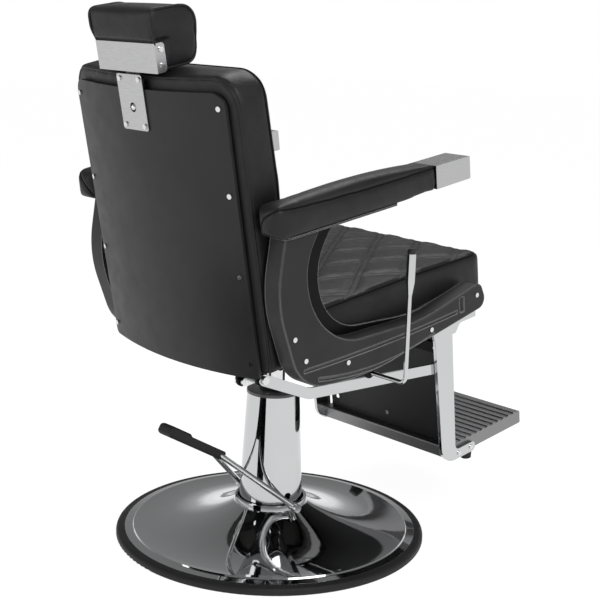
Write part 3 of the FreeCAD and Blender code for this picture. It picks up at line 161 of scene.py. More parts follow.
def plastic(name, colour, roughness, grain=900.0, strength=0.12, specular=0.5, edge=0.0):
    """Moulded, laminated or painted surface with a fine matt texture."""
    material, tree, shader = new_material(name)
    shader.inputs["Specular IOR Level"].default_value = specular
    tone, _ = noise_at(tree, scale=9.0, detail=3.0)
    drive(tree, tone, shader.inputs["Base Color"], scaled(colour, 0.88), scaled(colour, 1.12))
    smear, _ = noise_at(tree, scale=30.0, detail=4.0)
    drive(tree, smear, shader.inputs["Roughness"], roughness - 0.04, roughness + 0.05)
    fine, _ = noise_at(tree, scale=grain, detail=2.0)
    emboss(tree, shader, fine.outputs["Fac"], strength=strength, distance=0.0003, edge=edge)
    return material


def polished(name, colour, roughness, wave, edge=0.0):
    """Polished plating: near mirror, with a trace of surface waviness and dulling."""
    material, tree, shader = new_material(name)
    shader.inputs["Metallic"].default_value = 1.0
    tone, _ = noise_at(tree, scale=6.0, detail=2.0)
    drive(tree, tone, shader.inputs["Base Color"], scaled(colour, 0.97), colour)
    haze, _ = noise_at(tree, scale=24.0, detail=4.0)
    drive(tree, haze, shader.inputs["Roughness"], roughness * 0.7, roughness * 1.4)
    ripple, _ = noise_at(tree, scale=11.0, detail=1.0)
    emboss(tree, shader, ripple.outputs["Fac"], strength=wave, distance=0.002, edge=edge)
    return material


def brushed(name, colour, roughness, stretch, strength=0.25, edge=0.0):
    """Brushed metal: short scratches along one direction."""
    material, tree, shader = new_material(name)
    shader.inputs["Metallic"].default_value = 1.0
    grain, _ = noise_at(tree, scale=55.0, detail=6.0, stretch=stretch)
    drive(tree, grain, shader.inputs["Base Color"], scaled(colour, 0.92), scaled(colour, 1.06))
    drive(tree, grain, shader.inputs["Roughness"], roughness + 0.05, roughness - 0.04)
    emboss(tree, shader, grain.outputs["Fac"], strength=strength, distance=0.0002, edge=edge)
    return material


def plywood(name):
    """Dark stained plywood with its grain across the chair."""
    material, tree, shader = new_material(name)
    shader.inputs["Roughness"].default_value = 0.7
    rings, _ = noise_at(tree, scale=5.0, detail=6.0, stretch=(1, 14, 14))
    drive(tree, rings, shader.inputs["Base Color"], (0.012, 0.011, 0.010), (0.03, 0.027, 0.024))
    emboss(tree, shader, rings.outputs["Fac"], strength=0.2, distance=0.0005)
    return material


def painted_edge_highlight(material, radius, colour):
    """Copy of a painted material with a painted highlight along its edges: a lighter colour where the
    rounded normal turns away from the true one.
    """
    copy = material.copy()
    copy.name = material.name + "_edged"
    tree = copy.node_tree
    shader = tree.nodes["Principled BSDF"]
    paint = shader.inputs["Base Color"].links[0].from_socket
    true = tree.nodes.new("ShaderNodeNewGeometry")
    turn = add(tree, "ShaderNodeVectorMath", operation="DOT_PRODUCT")
    tree.links.new(rounded_normal(tree, radius), turn.inputs[0])
    tree.links.new(true.outputs["Normal"], turn.inputs[1])
    near = add(tree, "ShaderNodeMapRange", from_min=0.995, from_max=0.93)
    tree.links.new(turn.outputs["Value"], near.inputs["Value"])
    mix = add(tree, "ShaderNodeMix", data_type="RGBA")
    painted, highlight_input = [socket for socket in mix.inputs if socket.type == "RGBA"]
    mixed = next(socket for socket in mix.outputs if socket.type == "RGBA")
    tree.links.new(near.outputs["Result"], mix.inputs["Factor"])
    tree.links.new(paint, painted)
    # Colour of the painted edge highlight, mixed in near the edges
    highlight_input.default_value = (*colour, 1)
    tree.links.new(mixed, shader.inputs["Base Color"])
    return copy


looks = {
    "black_leather": leather("black_leather", (0.0125, 0.0125, 0.0135)),
    "black_panel": plastic(
        "black_panel", (0.017, 0.017, 0.018), roughness=0.4, specular=0.28, edge=0.0016),
    "chrome": polished("chrome", (0.57, 0.575, 0.58), roughness=0.05, wave=0.02, edge=0.0008),
    "brushed_steel": brushed(
        "brushed_steel", (0.49, 0.49, 0.495), roughness=0.24, stretch=(1, 14, 14), strength=0.15,
        edge=0.0008),
    "screw_steel": polished("screw_steel", (0.7, 0.7, 0.7), roughness=0.14, wave=0.05),
    "black_painted_steel": plastic(
        "black_painted_steel", (0.004, 0.004, 0.004), roughness=0.3, grain=260.0, strength=0.1,
        specular=0.1, edge=0.0014),
    "dark_cap": plastic("dark_cap", (0.12, 0.12, 0.125), roughness=0.32, grain=300.0, strength=0.15),
    "cast_iron": plastic("cast_iron", (0.04, 0.04, 0.042), roughness=0.65, grain=180.0, strength=0.6),
    "machined_steel": brushed(
        "machined_steel", (0.72, 0.72, 0.73), roughness=0.16, stretch=(14, 14, 1), strength=0.1),
    "black_rubber": plastic(
        "black_rubber", (0.014, 0.014, 0.014), roughness=0.6, grain=500.0, strength=0.2, specular=0.35),
    "black_grip": plastic(
        "black_grip", (0.016, 0.016, 0.016), roughness=0.45, grain=500.0, strength=0.2, specular=0.35),
    "grey_aluminium": brushed(
        "grey_aluminium", (0.27, 0.27, 0.275), roughness=0.4, stretch=(1, 12, 12)),
    "plywood": plywood("plywood"),
}
# Light grey painted highlight along the edges of the panels and plates
highlit_edge_looks = {slot: painted_edge_highlight(looks[slot], radius=0.0035, colour=(0.3, 0.3, 0.3))
         for slot in ("black_panel", "black_painted_steel")}
# Near-black piping with little sheen: painted shade for the dark crease along the seat's, the back's front
# and the arms' seams
painted_shade_piping = plastic("painted_shade_piping", (0.003, 0.003, 0.003), roughness=0.55, specular=0.12)

# The side panels and side plates get a painted highlight along their edges

for row in frame["record"]["subparts"]:
    slot = row["material_slot"]
    look = looks[slot]
    if row["node"].startswith(("side_panel", "side_plate")):
        look = highlit_edge_looks.get(slot, look)
    materials = nodes[row["node"]].data.materials
    materials.clear()
    materials.append(look)


# Soft pieces: each is made in the frame of the seat unit or of the backrest, then put into the row frame

PRESSURE = 4.0
CLOTH_STEPS = 20
STIFFNESS = 20.0
BENDING = 2.0
SEAM_BAND = 0.005
SEAM_REACH = 0.012
TUBE_SIDES = 10
PATH_STEP = 0.006


def new_piece(name, form):
    """An object from a finished mesh form."""
    mesh = bpy.data.meshes.new(name)
    form.to_mesh(mesh)
    form.free()
    piece = bpy.data.objects.new(name, mesh)
    scene.collection.objects.link(piece)
    return piece


def local_form(node, space, inset, keep):
    """Closed convex form around a CAD solid, drawn in a little on every side, in a tilted frame."""
    inverse = space.inverted()
    points = [inverse @ vertex.co for vertex in nodes[node].data.vertices]
    points = [point for point in points if keep(point)]
    low = Vector([min(point[axis] for point in points) for axis in range(3)])
    high = Vector([max(point[axis] for point in points) for axis in range(3)])
    middle = (low + high) / 2
    form = bmesh.new()
    for point in points:
        form.verts.new([
            middle[axis] + (point[axis] - middle[axis]) * (1 - 2 * inset / (high[axis] - low[axis]))
            for axis in range(3)])
    hull = bmesh.ops.convex_hull(form, input=form.verts)
    spare = {item for item in hull["geom_interior"] + hull["geom_unused"]
             if isinstance(item, bmesh.types.BMVert)}
    bmesh.ops.delete(form, geom=list(spare), context="VERTS")
    return form


def start_soft(name, node, space, inset, voxel, keep=lambda point: True):
    """A piece with an even mesh in the place of a CAD solid."""
    piece = new_piece(name, local_form(node, space, inset, keep))
    modifier = piece.modifiers.new("remesh", "REMESH")
    modifier.mode = "VOXEL"
    modifier.voxel_size = voxel
    settle(piece)
    return piece


def settle(piece):
    """Puts what the piece's modifiers make into its own mesh."""
    bpy.context.view_layer.update()
    graph = bpy.context.evaluated_depsgraph_get()
    mesh = bpy.data.meshes.new_from_object(piece.evaluated_get(graph))
    piece.modifiers.clear()
    piece.data = mesh


def places(piece):
    """The places of a piece's points, a row each."""
    count = len(piece.data.vertices)
    values = np.empty(count * 3)
    piece.data.vertices.foreach_get("co", values)
    return values.reshape(count, 3)


def place_all(piece, values):
    """Gives a piece's points new places."""
    piece.data.vertices.foreach_set("co", np.asarray(values, dtype=float).ravel())
    piece.data.update()


def directions(piece):
    """The way that the surface faces at each point."""
    count = len(piece.data.vertices)
    values = np.empty(count * 3)
    piece.data.vertices.foreach_get("normal", values)
    return values.reshape(count, 3)


def swell(piece, held, cap):
    """Cloth under pressure swells between its seams. Then the surface is evened out and made finer."""
    inflate(piece, held, cap)
    relax(piece, 2)
    modifier = piece.modifiers.new("subdivision", "SUBSURF")
    modifier.levels = 1
    modifier.render_levels = 1
    settle(piece)


def inflate(piece, held, cap):
    """Runs the cloth. Held points stay, and no point moves further than the cap."""
    before = places(piece)
    group = piece.vertex_groups.new(name="held")
    for index in np.nonzero(held(before))[0]:
        group.add([int(index)], 1.0, "REPLACE")
    cloth = piece.modifiers.new("cloth", "CLOTH")
    cloth.settings.vertex_group_mass = "held"
    cloth.settings.use_pressure = True
    cloth.settings.uniform_pressure_force = PRESSURE
    cloth.settings.effector_weights.gravity = 0.0
    cloth.settings.tension_stiffness = STIFFNESS
    cloth.settings.compression_stiffness = STIFFNESS
    cloth.settings.bending_stiffness = BENDING
    cloth.point_cache.frame_start = 1
    cloth.point_cache.frame_end = CLOTH_STEPS
    for step in range(1, CLOTH_STEPS + 1):
        scene.frame_set(step)
    graph = bpy.context.evaluated_depsgraph_get()
    result = piece.evaluated_get(graph).to_mesh()
    after = np.empty(len(before) * 3)
    result.vertices.foreach_get("co", after)
    moved = after.reshape(-1, 3) - before
    length = np.maximum(np.linalg.norm(moved, axis=1), 1e-9)
    share = cap * np.tanh(length / cap) / length
    piece.modifiers.clear()
    piece.vertex_groups.clear()
    place_all(piece, before + moved * share[:, None])
    scene.frame_set(1)


def relax(piece, rounds):
    """Evens out small bumps by moving each point half way towards its neighbours."""
    count = len(piece.data.edges)
    pairs = np.empty(count * 2, dtype=int)
    piece.data.edges.foreach_get("vertices", pairs)
    first, second = pairs.reshape(count, 2).T
    values = places(piece)
    for _ in range(rounds):
        total = np.zeros_like(values)
        number = np.zeros(len(values))
        for here, there in ((first, second), (second, first)):
            np.add.at(total, here, values[there])
            np.add.at(number, here, 1)
        values = values + 0.5 * (total / number[:, None] - values)
    place_all(piece, values)


def soft_step(value, low, high):
    """0 below the low value, 1 above the high one and smooth between them."""
    share = np.clip((value - low) / (high - low), 0.0, 1.0)
    return share * share * (3 - 2 * share)


def inside_distance(x, y, low, high, radii):
    """How far points lie inside a rectangle with a corner radius at its low end and one at its high end."""
    radius = np.where(y > (low[1] + high[1]) / 2, radii[1], radii[0])
    mid_x = (low[0] + high[0]) / 2
    mid_y = (low[1] + high[1]) / 2
    across = np.abs(x - mid_x) - ((high[0] - low[0]) / 2 - radius)
    along = np.abs(y - mid_y) - ((high[1] - low[1]) / 2 - radius)
    outside = np.hypot(np.maximum(across, 0), np.maximum(along, 0))
    return radius - outside - np.minimum(np.maximum(across, along), 0)


def crown(depth, height, start, spread):
    """Height of a crowned face at a depth inside its outline."""
    return height * (1 - np.exp(-np.maximum(depth - start, 0) / spread))


def round_off(values, centre, radius):
    """Draws the points beyond the arc of a front top corner in to it."""
    forward = values[:, Y] - centre[0]
    upward = values[:, Z] - centre[1]
    length = np.maximum(np.hypot(forward, upward), 1e-9)
    beyond = (forward < 0) & (upward > 0) & (length > radius)
    share = np.where(beyond, radius / length, 1.0)
    values[:, Y] = centre[0] + forward * share
    values[:, Z] = centre[1] + upward * share


# Quilting: pairs of stitched lines that cross, with flat pillows between them

QUILT_PITCH = 0.158
QUILT_SLOPE = 1.4
QUILT_START = -0.309
STITCH_GAP = 0.0125
STITCH_WIDTH = 0.0017
STITCH_DEPTH = 0.0018
PILLOW_EDGE = 0.022
PILLOW_HEIGHT = 0.0022
QUILT_MARGIN = (0.006, 0.016)
QUILT_FACING = (0.6, 0.9)


def quilt_height(x, y):
    """Height of the pattern at a place on the quilted face."""
    lift = 1.0
    groove = 0.0
    scale = math.hypot(1.0, QUILT_SLOPE)
    for sign in (-1, 1):
        offset = y + sign * QUILT_SLOPE * x - QUILT_START
        away = np.abs((offset + QUILT_PITCH / 2) % QUILT_PITCH - QUILT_PITCH / 2) / scale
        lift = lift * soft_step(away, STITCH_GAP / 2, PILLOW_EDGE)
        stitch = np.exp(-((away - STITCH_GAP / 2) / STITCH_WIDTH) ** 2)
        groove = np.maximum(groove, stitch)
    return PILLOW_HEIGHT * lift - STITCH_DEPTH * groove


def quilt_lift(towards, x, y, depth):
    """Height of the quilting. A point that faces elsewhere or lies near the outline has none."""
    return soft_step(towards, *QUILT_FACING) * soft_step(depth, *QUILT_MARGIN) * quilt_height(x, y)


# Paths for seams and piping


def rounded_path(corners, step=PATH_STEP):
    """Closed path through (a, b, radius) corners, in even steps."""
    count = len(corners)
    points = []
    for index in range(count):
        a, b, radius = corners[index]
        here = Vector((a, b))
        if radius == 0:
            points.append(here)
            continue
        into = (Vector(corners[index - 1][:2]) - here).normalized()
        out = (Vector(corners[(index + 1) % count][:2]) - here).normalized()
        angle = into.angle(out)
        reach = radius / math.tan(angle / 2)
        centre = here + (into + out).normalized() * radius / math.sin(angle / 2)
        start = here + into * reach - centre
        turn = math.pi - angle
        side = 1.0 if into.cross(out) < 0 else -1.0
        parts = max(2, int(radius * turn / step))
        for part in range(parts + 1):
            swing = side * turn * part / parts
            points.append(centre + Matrix.Rotation(swing, 2) @ start)
    return even_steps(points + points[:1], step)[:-1]


def rectangle_path(low, high, radii):
    """Closed path around a rectangle with a corner radius at its low end and one at its high end."""
    return rounded_path([
        (low[0], low[1], radii[0]), (high[0], low[1], radii[0]),
        (high[0], high[1], radii[1]), (low[0], high[1], radii[1])])


def even_steps(points, step):
    """The same open path with points a step apart."""
    result = [points[0].copy()]
    for first, second in zip(points, points[1:]):
        length = (second - first).length
        if length < 1e-7:
            continue
        parts = max(1, round(length / step))
        for part in range(1, parts + 1):
            result.append(first.lerp(second, part / parts))
    return result


def smooth_path(points, closed, rounds):
    """Moves each point half way towards the middle of its neighbours. Open ends stay."""
    count = len(points)
    for _ in range(rounds):
        moved = []
        for index in range(count):
            if not closed and index in (0, count - 1):
                moved.append(points[index])
                continue
            middle = (points[index - 1] + points[(index + 1) % count]) / 2
            moved.append(points[index].lerp(middle, 0.5))
        points = moved
    return points


def seam_on(piece, points, sink=0.0, closed=True, rounds=3):
    """Smooth path on a piece's surface, or a little below it."""
    tree = BVHTree.FromPolygons([vertex.co.copy() for vertex in piece.data.vertices],
                                [tuple(face.vertices) for face in piece.data.polygons])
    snapped = []
    for point in points:
        place, normal, _, _ = tree.find_nearest(point)
        snapped.append(place - normal * sink)
    return smooth_path(snapped, closed, rounds)


def crease(piece, points, depth, width):
    """Presses a soft surface in along a seam."""
    finder = KDTree(len(points))
    for index, point in enumerate(points):
        finder.insert(point, index)
    finder.balance()
    values = places(piece)
    near = np.array([finder.find(spot)[2] for spot in values.tolist()])
    push = depth * np.exp(-(near / width) ** 2)
    place_all(piece, values - directions(piece) * push[:, None])


def tube(name, points, radius, closed=True):
    """Round tube along a path, such as piping, with end faces where the path is open."""
    count = len(points)
    form = bmesh.new()
    rings = []
    normal = None
    for index in range(count):
        if closed:
            ahead = (points[(index + 1) % count] - points[index - 1]).normalized()
        else:
            ahead = (points[min(index + 1, count - 1)] - points[max(index - 1, 0)]).normalized()
        if normal is None:
            start = Vector((0, 0, 1)) if abs(ahead.z) < 0.9 else Vector((1, 0, 0))
            normal = ahead.cross(start).normalized()
        normal = (normal - ahead * normal.dot(ahead)).normalized()
        other = ahead.cross(normal)
        ring = []
        for side in range(TUBE_SIDES):
            angle = 2 * math.pi * side / TUBE_SIDES
            spot = points[index] + radius * (math.cos(angle) * normal + math.sin(angle) * other)
            ring.append(form.verts.new(spot))
        rings.append(ring)
    for near, far in zip(rings, rings[1:]):
        join_rings(form, near, far, 0)
    if closed:
        near, far = rings[-1], rings[0]
        shift = min(range(TUBE_SIDES), key=lambda side: (near[0].co - far[side].co).length)
        join_rings(form, near, far, shift)
    else:
        form.faces.new(rings[0][::-1])
        form.faces.new(rings[-1])
    bmesh.ops.recalc_face_normals(form, faces=form.faces)
    return new_piece(name, form)


def join_rings(form, near, far, shift):
    """Faces between two rings of a tube. The far ring may be turned by a few of its sides."""
    for side in range(TUBE_SIDES):
        following = (side + 1) % TUBE_SIDES
        form.faces.new((near[side], near[following],
                        far[(following + shift) % TUBE_SIDES], far[(side + shift) % TUBE_SIDES]))


def finish_soft(piece, space, body, look=looks["black_leather"]):
    """Puts a finished piece into the row frame, on its body, with its material."""
    piece.data.transform(space)
    for face in piece.data.polygons:
        face.use_smooth = True
    piece.data.materials.clear()
    piece.data.materials.append(look)
    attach(piece, body)


# Seat cushion


def make_seat_cushion():
    """Quilted seat cushion: crowned top, upright sides and a front edge that falls away."""
    low = (-0.248, -0.376)
    high = (0.248, 0.136)
    radii = (0.026, 0.025)
    outline = (low, high, radii)
    bottom = -0.0895
    board_level = -0.080
    front_push = 0.004
    push_zone = (0.30, 0.36)
    front_drop = 0.008
    drop_zone = (0.12, 0.38)
    top_zone = (-0.05, 0.0)

    piece = start_soft("seat_cushion_soft", "seat_cushion", SEAT, inset=0.0025, voxel=0.006)
    values = places(piece)
    depth = inside_distance(values[:, X], values[:, Y], *outline)
    top = crown(depth, height=0.005, start=0.004, spread=0.028)
    values[:, Z] = np.minimum(values[:, Z], top)
    place_all(piece, values)

    def held(spots):
        """The seam and the edge around the board stay."""
        away = inside_distance(spots[:, X], spots[:, Y], *outline)
        seam = (np.abs(spots[:, Z]) < SEAM_BAND) & (away < SEAM_REACH)
        return seam | (spots[:, Z] < board_level)

    swell(piece, held, cap=0.004)
    values = places(piece)
    values[:, Z] = np.maximum(values[:, Z], bottom)
    values[:, Y] -= front_push * soft_step(-values[:, Y], *push_zone)
    near_top = soft_step(values[:, Z], *top_zone)
    values[:, Z] -= front_drop * soft_step(-values[:, Y], *drop_zone) * near_top
    round_off(values, centre=(-0.350, -0.031), radius=0.028)
    place_all(piece, values)
    facing = directions(piece)
    depth = inside_distance(values[:, X], values[:, Y], *outline)
    lift = quilt_lift(facing[:, Z], values[:, X], values[:, Y], depth)
    place_all(piece, values + facing * lift[:, None])

    path = [Vector((p.x, p.y, 0.0)) for p in rectangle_path(*outline)]
    seam = seam_on(piece, path)
    crease(piece, seam, depth=0.0022, width=0.0055)
    welt = tube("seat_piping", seam_on(piece, seam, sink=0.0004), radius=0.0028)
    finish_soft(piece, SEAT, "seat")
    finish_soft(welt, SEAT, "seat", painted_shade_piping)
    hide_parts("seat_cushion")


# Back cushion

BOW_RADIUS = 0.871
BOW_DEPTH = 0.0996
BACK_FRONT = -0.046
BACK_BOTTOM = -0.052
BACK_HEIGHT = 0.574
FRONT_LEAN = 0.018
SEAM_DEPTH = 0.018


def bow(x, depth):
    """Where the bowed rear of the backrest lies at a place across it, less a depth into it."""
    return BOW_DEPTH - depth - BOW_RADIUS + np.sqrt(BOW_RADIUS * BOW_RADIUS - x * x)


def front_seam(z):
    """Where the front seam of the back cushion lies, behind a front face that leans back."""
    front = BACK_FRONT + FRONT_LEAN * (z - BACK_BOTTOM) / BACK_HEIGHT
    return front + SEAM_DEPTH


def make_back_cushion():
    """Quilted back cushion with a bowed rear, and a recess for the headrest's post."""
    low = (-0.250, BACK_BOTTOM)
    high = (0.250, 0.521)
    radii = (0.012, 0.060)
    outline = (low, high, radii)
    bottom_band = -0.046
    rear_band = 0.016
    panel_depth = 0.0085
    post_half_width = 0.0225
    post_low = 0.40
    post_front = 0.0845
    arms_zone = (0.24, 0.32)
    side_push = 0.003
    side_zone = (0.20, 0.245)
    front_push = 0.003
    front_zone = (-0.02, 0.02)
    top_drop = 0.004
    top_zone = (0.48, 0.515)
    top_front_zone = (-0.03, 0.02)
    quilt_shift = 0.05
    rear_seam_depth = 0.0095
    rear_seam_share = 0.992
    rear_seam_drop = 0.007
    shoulder = 0.4

    piece = start_soft("back_cushion_soft", "back_cushion", BACK, inset=0.0025, voxel=0.006)
    values = places(piece)
    depth = inside_distance(values[:, X], values[:, Z], *outline)
    front = front_seam(values[:, Z]) - crown(depth, height=0.016, start=0.003, spread=0.030)
    values[:, Y] = np.maximum(values[:, Y], front)
    place_all(piece, values)

    def held(spots):
        """The front seam, the rear and the underside stay."""
        away = inside_distance(spots[:, X], spots[:, Z], *outline)
        seam = (np.abs(spots[:, Y] - front_seam(spots[:, Z])) < SEAM_BAND) & (away < SEAM_REACH)
        rear = spots[:, Y] > bow(spots[:, X], rear_band)
        return seam | rear | (spots[:, Z] < bottom_band)

    swell(piece, held, cap=0.006)
    values = places(piece)
    values[:, Y] = np.minimum(values[:, Y], bow(values[:, X], panel_depth))
    post = (np.abs(values[:, X]) < post_half_width) & (values[:, Z] > post_low)
    values[:, Y] = np.where(post, np.minimum(values[:, Y], post_front), values[:, Y])
    above_arms = soft_step(values[:, Z], *arms_zone)
    near_sides = soft_step(np.abs(values[:, X]), *side_zone)
    values[:, X] += side_push * np.sign(values[:, X]) * near_sides * above_arms
    values[:, Y] -= front_push * soft_step(-values[:, Y], *front_zone) * above_arms
    near_top = soft_step(values[:, Z], *top_zone)
    values[:, Z] -= top_drop * soft_step(-values[:, Y], *top_front_zone) * near_top
    place_all(piece, values)
    facing = directions(piece)
    depth = inside_distance(values[:, X], values[:, Z], *outline)
    lift = quilt_lift(-facing[:, Y], values[:, X], values[:, Z] - quilt_shift, depth)
    place_all(piece, values + facing * lift[:, None])

    path = rectangle_path(*outline)
    front_path = [Vector((p.x, front_seam(p.y), p.y)) for p in path]
    rear_path = []
    for p in path:
        x = p.x * rear_seam_share
        drop = rear_seam_drop if p.y > shoulder else 0.0
        rear_path.append(Vector((x, bow(x, rear_seam_depth), p.y - drop)))
    front_line = seam_on(piece, front_path)
    rear_line = seam_on(piece, rear_path)
    crease(piece, front_line + rear_line, depth=0.0018, width=0.0055)
    front_welt = tube("back_front_piping", seam_on(piece, front_line, sink=0.0003), radius=0.0030)
    rear_welt = tube("back_rear_piping", seam_on(piece, rear_line, sink=0.0003), radius=0.0028)
    finish_soft(piece, BACK, "backrest")
    finish_soft(front_welt, BACK, "backrest", painted_shade_piping)
    finish_soft(rear_welt, BACK, "backrest")
    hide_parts("back_cushion")


# Headrest pad


def make_headrest_pad():
    """Headrest pad: its lower rear is held by the metal bracket, and its ends are piped."""
    bracket_half = 0.088
    bracket_top = 0.575
    bracket_front = 0.0997
    bracket_gap = 0.0005
    full_half = 0.105
    end_seam = 0.094
    end_band = 0.003
    bottom = 0.521
    bottom_band = 0.530
    free_zone = (0.574, 0.592)
    free_width = 0.014
    free_depth = 0.012
    rear_zone = (0.045, 0.078)
    seam_inset = 0.002
    seam_outset = 0.006

    piece = start_soft("headrest_pad_soft", "headrest_pad", BACK, inset=0.002, voxel=0.004)

    def held(spots):
        """The end seams and the underside stay."""
        return (np.abs(np.abs(spots[:, X]) - end_seam) < end_band) | (spots[:, Z] < bottom_band)

    swell(piece, held, cap=0.005)
    values = places(piece)
    free = soft_step(values[:, Z], *free_zone)
    rear = soft_step(values[:, Y], *rear_zone)
    limit = (bracket_half - bracket_gap + free * free_width) * rear + full_half * (1 - rear)
    values[:, X] = np.clip(values[:, X], -limit, limit)
    values[:, Y] = np.minimum(values[:, Y], bracket_front + free * free_depth)
    values[:, Z] = np.maximum(values[:, Z], bottom)
    round_off(values, centre=(0.050, 0.590), radius=0.049)
    place_all(piece, values)

    outline = rounded_path([
        (0.004, 0.523, 0.024), (0.098, 0.523, 0.004), (0.098, bracket_top, 0),
        (0.105, 0.598, 0.02), (0.105, 0.635, 0.012), (0.004, 0.638, 0.045)], step=0.004)
    parts = [piece]
    for side, suffix in ((-1, "right"), (1, "left")):
        path = []
        for p in outline:
            half = bracket_half - seam_inset if p.y < bracket_top else bracket_half + seam_outset
            path.append(Vector((side * half, p.x, p.y)))
        seam = seam_on(piece, path, rounds=4)
        crease(piece, seam, depth=0.0016, width=0.005)
        parts.append(tube("headrest_piping_" + suffix, seam, radius=0.0026))
    for part in parts:
        finish_soft(part, BACK, "headrest")
    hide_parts("headrest_pad")


# Arm pads: the seams' height at stations along the arm, and the outer one's by angle round the rear end

ARM_STATIONS = ((-0.160, 0.231), (-0.06, 0.2295), (0.039, 0.2295), (0.138, 0.2315), (0.220, 0.2370))
ARM_TURN = ((0, 0.2385), (30, 0.240), (60, 0.238), (80, 0.231), (100, 0.220), (122, 0.206), (142, 0.190))


def make_arm_pad(suffix):
    """One arm pad with a seam along both top edges. The left one is the right one, mirrored."""
    inner = 0.256
    outer = 0.317
    front = -0.160
    rear_centre = 0.2375
    rear_seam_height = 0.235
    bottom = 0.181
    bottom_band = 0.184
    front_band = 0.004
    cut_margin = 0.0005
    flat_band = 0.0035
    flat_reach = 0.0002
    middle_height = 0.209
    front_fill = 0.0016
    fill_zone = (-0.03, -0.002)
    fill_blend = 0.02
    length = 0.36
    crown_height = 0.0065
    crown_zone = (0.215, 0.240)
    middle = (inner + outer) / 2
    half = (outer - inner) / 2

    piece = start_soft("arm_pad_soft_" + suffix, "arm_pad_right", SEAT, inset=0.0015, voxel=0.004,
                       keep=lambda point: point.y > front - cut_margin)

    def held(spots):
        """The front end and the underside stay."""
        return (spots[:, Y] < front + front_band) | (spots[:, Z] < bottom_band)

    swell(piece, held, cap=0.004)
    values = places(piece)
    values[:, Y] = np.where(values[:, Y] < front + flat_band, front - flat_reach, values[:, Y])
    values[:, Z] = np.maximum(values[:, Z], bottom)
    fuller = front_fill * soft_step(front - values[:, Y], *fill_zone)
    values[:, X] += fuller * np.clip((values[:, X] + middle) / fill_blend, -1, 1)
    values[:, Z] += fuller * np.clip((values[:, Z] - middle_height) / fill_blend, -1, 1)
    along = np.clip((values[:, Y] - front) / length, 0.0, 1.0)
    values[:, Z] += crown_height * np.sin(np.pi * along) * soft_step(values[:, Z], *crown_zone)
    place_all(piece, values)

    outer_edge = [Vector((-outer, y, z)) for y, z in ARM_STATIONS]
    for degrees, z in ARM_TURN:
        swing = math.radians(degrees)
        x = -middle - half * math.cos(swing)
        outer_edge.append(Vector((x, rear_centre + half * math.sin(swing), z)))
    inner_edge = [Vector((-inner, y, z)) for y, z in ARM_STATIONS]
    inner_edge.append(Vector((-inner, rear_centre, rear_seam_height)))
    welts = []
    for label, path in (("outer", outer_edge), ("inner", inner_edge)):
        fine = smooth_path(even_steps(path, step=0.004), closed=False, rounds=12)
        seam = seam_on(piece, fine, closed=False)
        crease(piece, seam, depth=0.0022, width=0.0045)
        line = seam_on(piece, seam, sink=0.0006, closed=False, rounds=1)
        welts.append(tube("arm_piping_" + label + "_" + suffix, line, radius=0.0020, closed=False))
    for part in [piece] + welts:
        if suffix == "left":
            part.data.transform(Matrix.Scale(-1, 4, Vector((1, 0, 0))))
            part.data.flip_normals()
        finish_soft(part, SEAT, "seat", painted_shade_piping if part in welts else looks["black_leather"])
    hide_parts("arm_pad_" + suffix)


make_seat_cushion()
make_back_cushion()
make_headrest_pad()
make_arm_pad("right")
make_arm_pad("left")


# Studio: camera, floor, world, lamps and one card

CAMERA_PLACE = (-1.982, 1.799, 1.124)
CAMERA_YAW = math.radians(133.32)
CAMERA_PITCH = math.radians(-12.72)
CAMERA_ROLL = math.radians(1.80)
FOCAL_PIXELS = 1297.4
PICTURE_PIXELS = 600.0
SENSOR_WIDTH = 36.0

FLOOR_REACH = 14.0
FLOOR_GLOW = 1.14
FLOOR_GLOW_SHARE = 0.82
CARD_HEIGHT = 0.5

# Grey levels of the surroundings by height, from -1 straight down to 1 straight up

LIGHT_STRENGTH = 0.75
LIGHT_LEVELS = ((-1, 0.75), (0.1, 0.8), (0.4, 0.4), (0.75, 0.4), (1, 0.8))
MIRROR_LEVELS = ((-1, 1.0), (0.06, 1.0), (0.16, 0.5), (0.3, 0.29), (0.75, 0.2), (1, 0.14))


def make_camera():
    """Camera with the place, direction and lens that were solved from the photograph."""
    forward = Vector((math.sin(CAMERA_YAW) * math.cos(CAMERA_PITCH),
                      math.cos(CAMERA_YAW) * math.cos(CAMERA_PITCH),
                      math.sin(CAMERA_PITCH)))
    right = Vector((math.cos(CAMERA_YAW), -math.sin(CAMERA_YAW), 0))
    up = right.cross(forward)
    right_rolled = math.cos(CAMERA_ROLL) * right + math.sin(CAMERA_ROLL) * up
    up_rolled = -math.sin(CAMERA_ROLL) * right + math.cos(CAMERA_ROLL) * up
    data = bpy.data.cameras.new("camera")
    data.sensor_width = SENSOR_WIDTH
    data.lens = FOCAL_PIXELS / PICTURE_PIXELS * SENSOR_WIDTH
    data.clip_end = 50.0
    camera = bpy.data.objects.new("camera", data)
    scene.collection.objects.link(camera)
    turn = Matrix((right_rolled, up_rolled, -forward)).transposed().to_4x4()
    camera.matrix_world = Matrix.Translation(CAMERA_PLACE) @ turn
    scene.camera = camera


def stage_face(name, corners, colour, roughness):
    """A four-cornered face of the stage with a plain material. Returns its shader and node tree too."""
    mesh = bpy.data.meshes.new(name)
    mesh.from_pydata(corners, [], [(0, 1, 2, 3)])
    face = bpy.data.objects.new(name, mesh)
    scene.collection.objects.link(face)
    material, tree, shader = new_material(name + "_surface")
    shader.inputs["Base Color"].default_value = (*colour, 1)
    shader.inputs["Roughness"].default_value = roughness
    mesh.materials.append(material)
    return face, tree, shader


def blend(tree, factor, first, second):
    """Output that goes from a first to a second shader by a factor."""
    mix = tree.nodes.new("ShaderNodeMixShader")
    tree.links.new(factor, mix.inputs["Fac"])
    tree.links.new(first, mix.inputs[1])
    tree.links.new(second, mix.inputs[2])
    return mix.outputs[0]


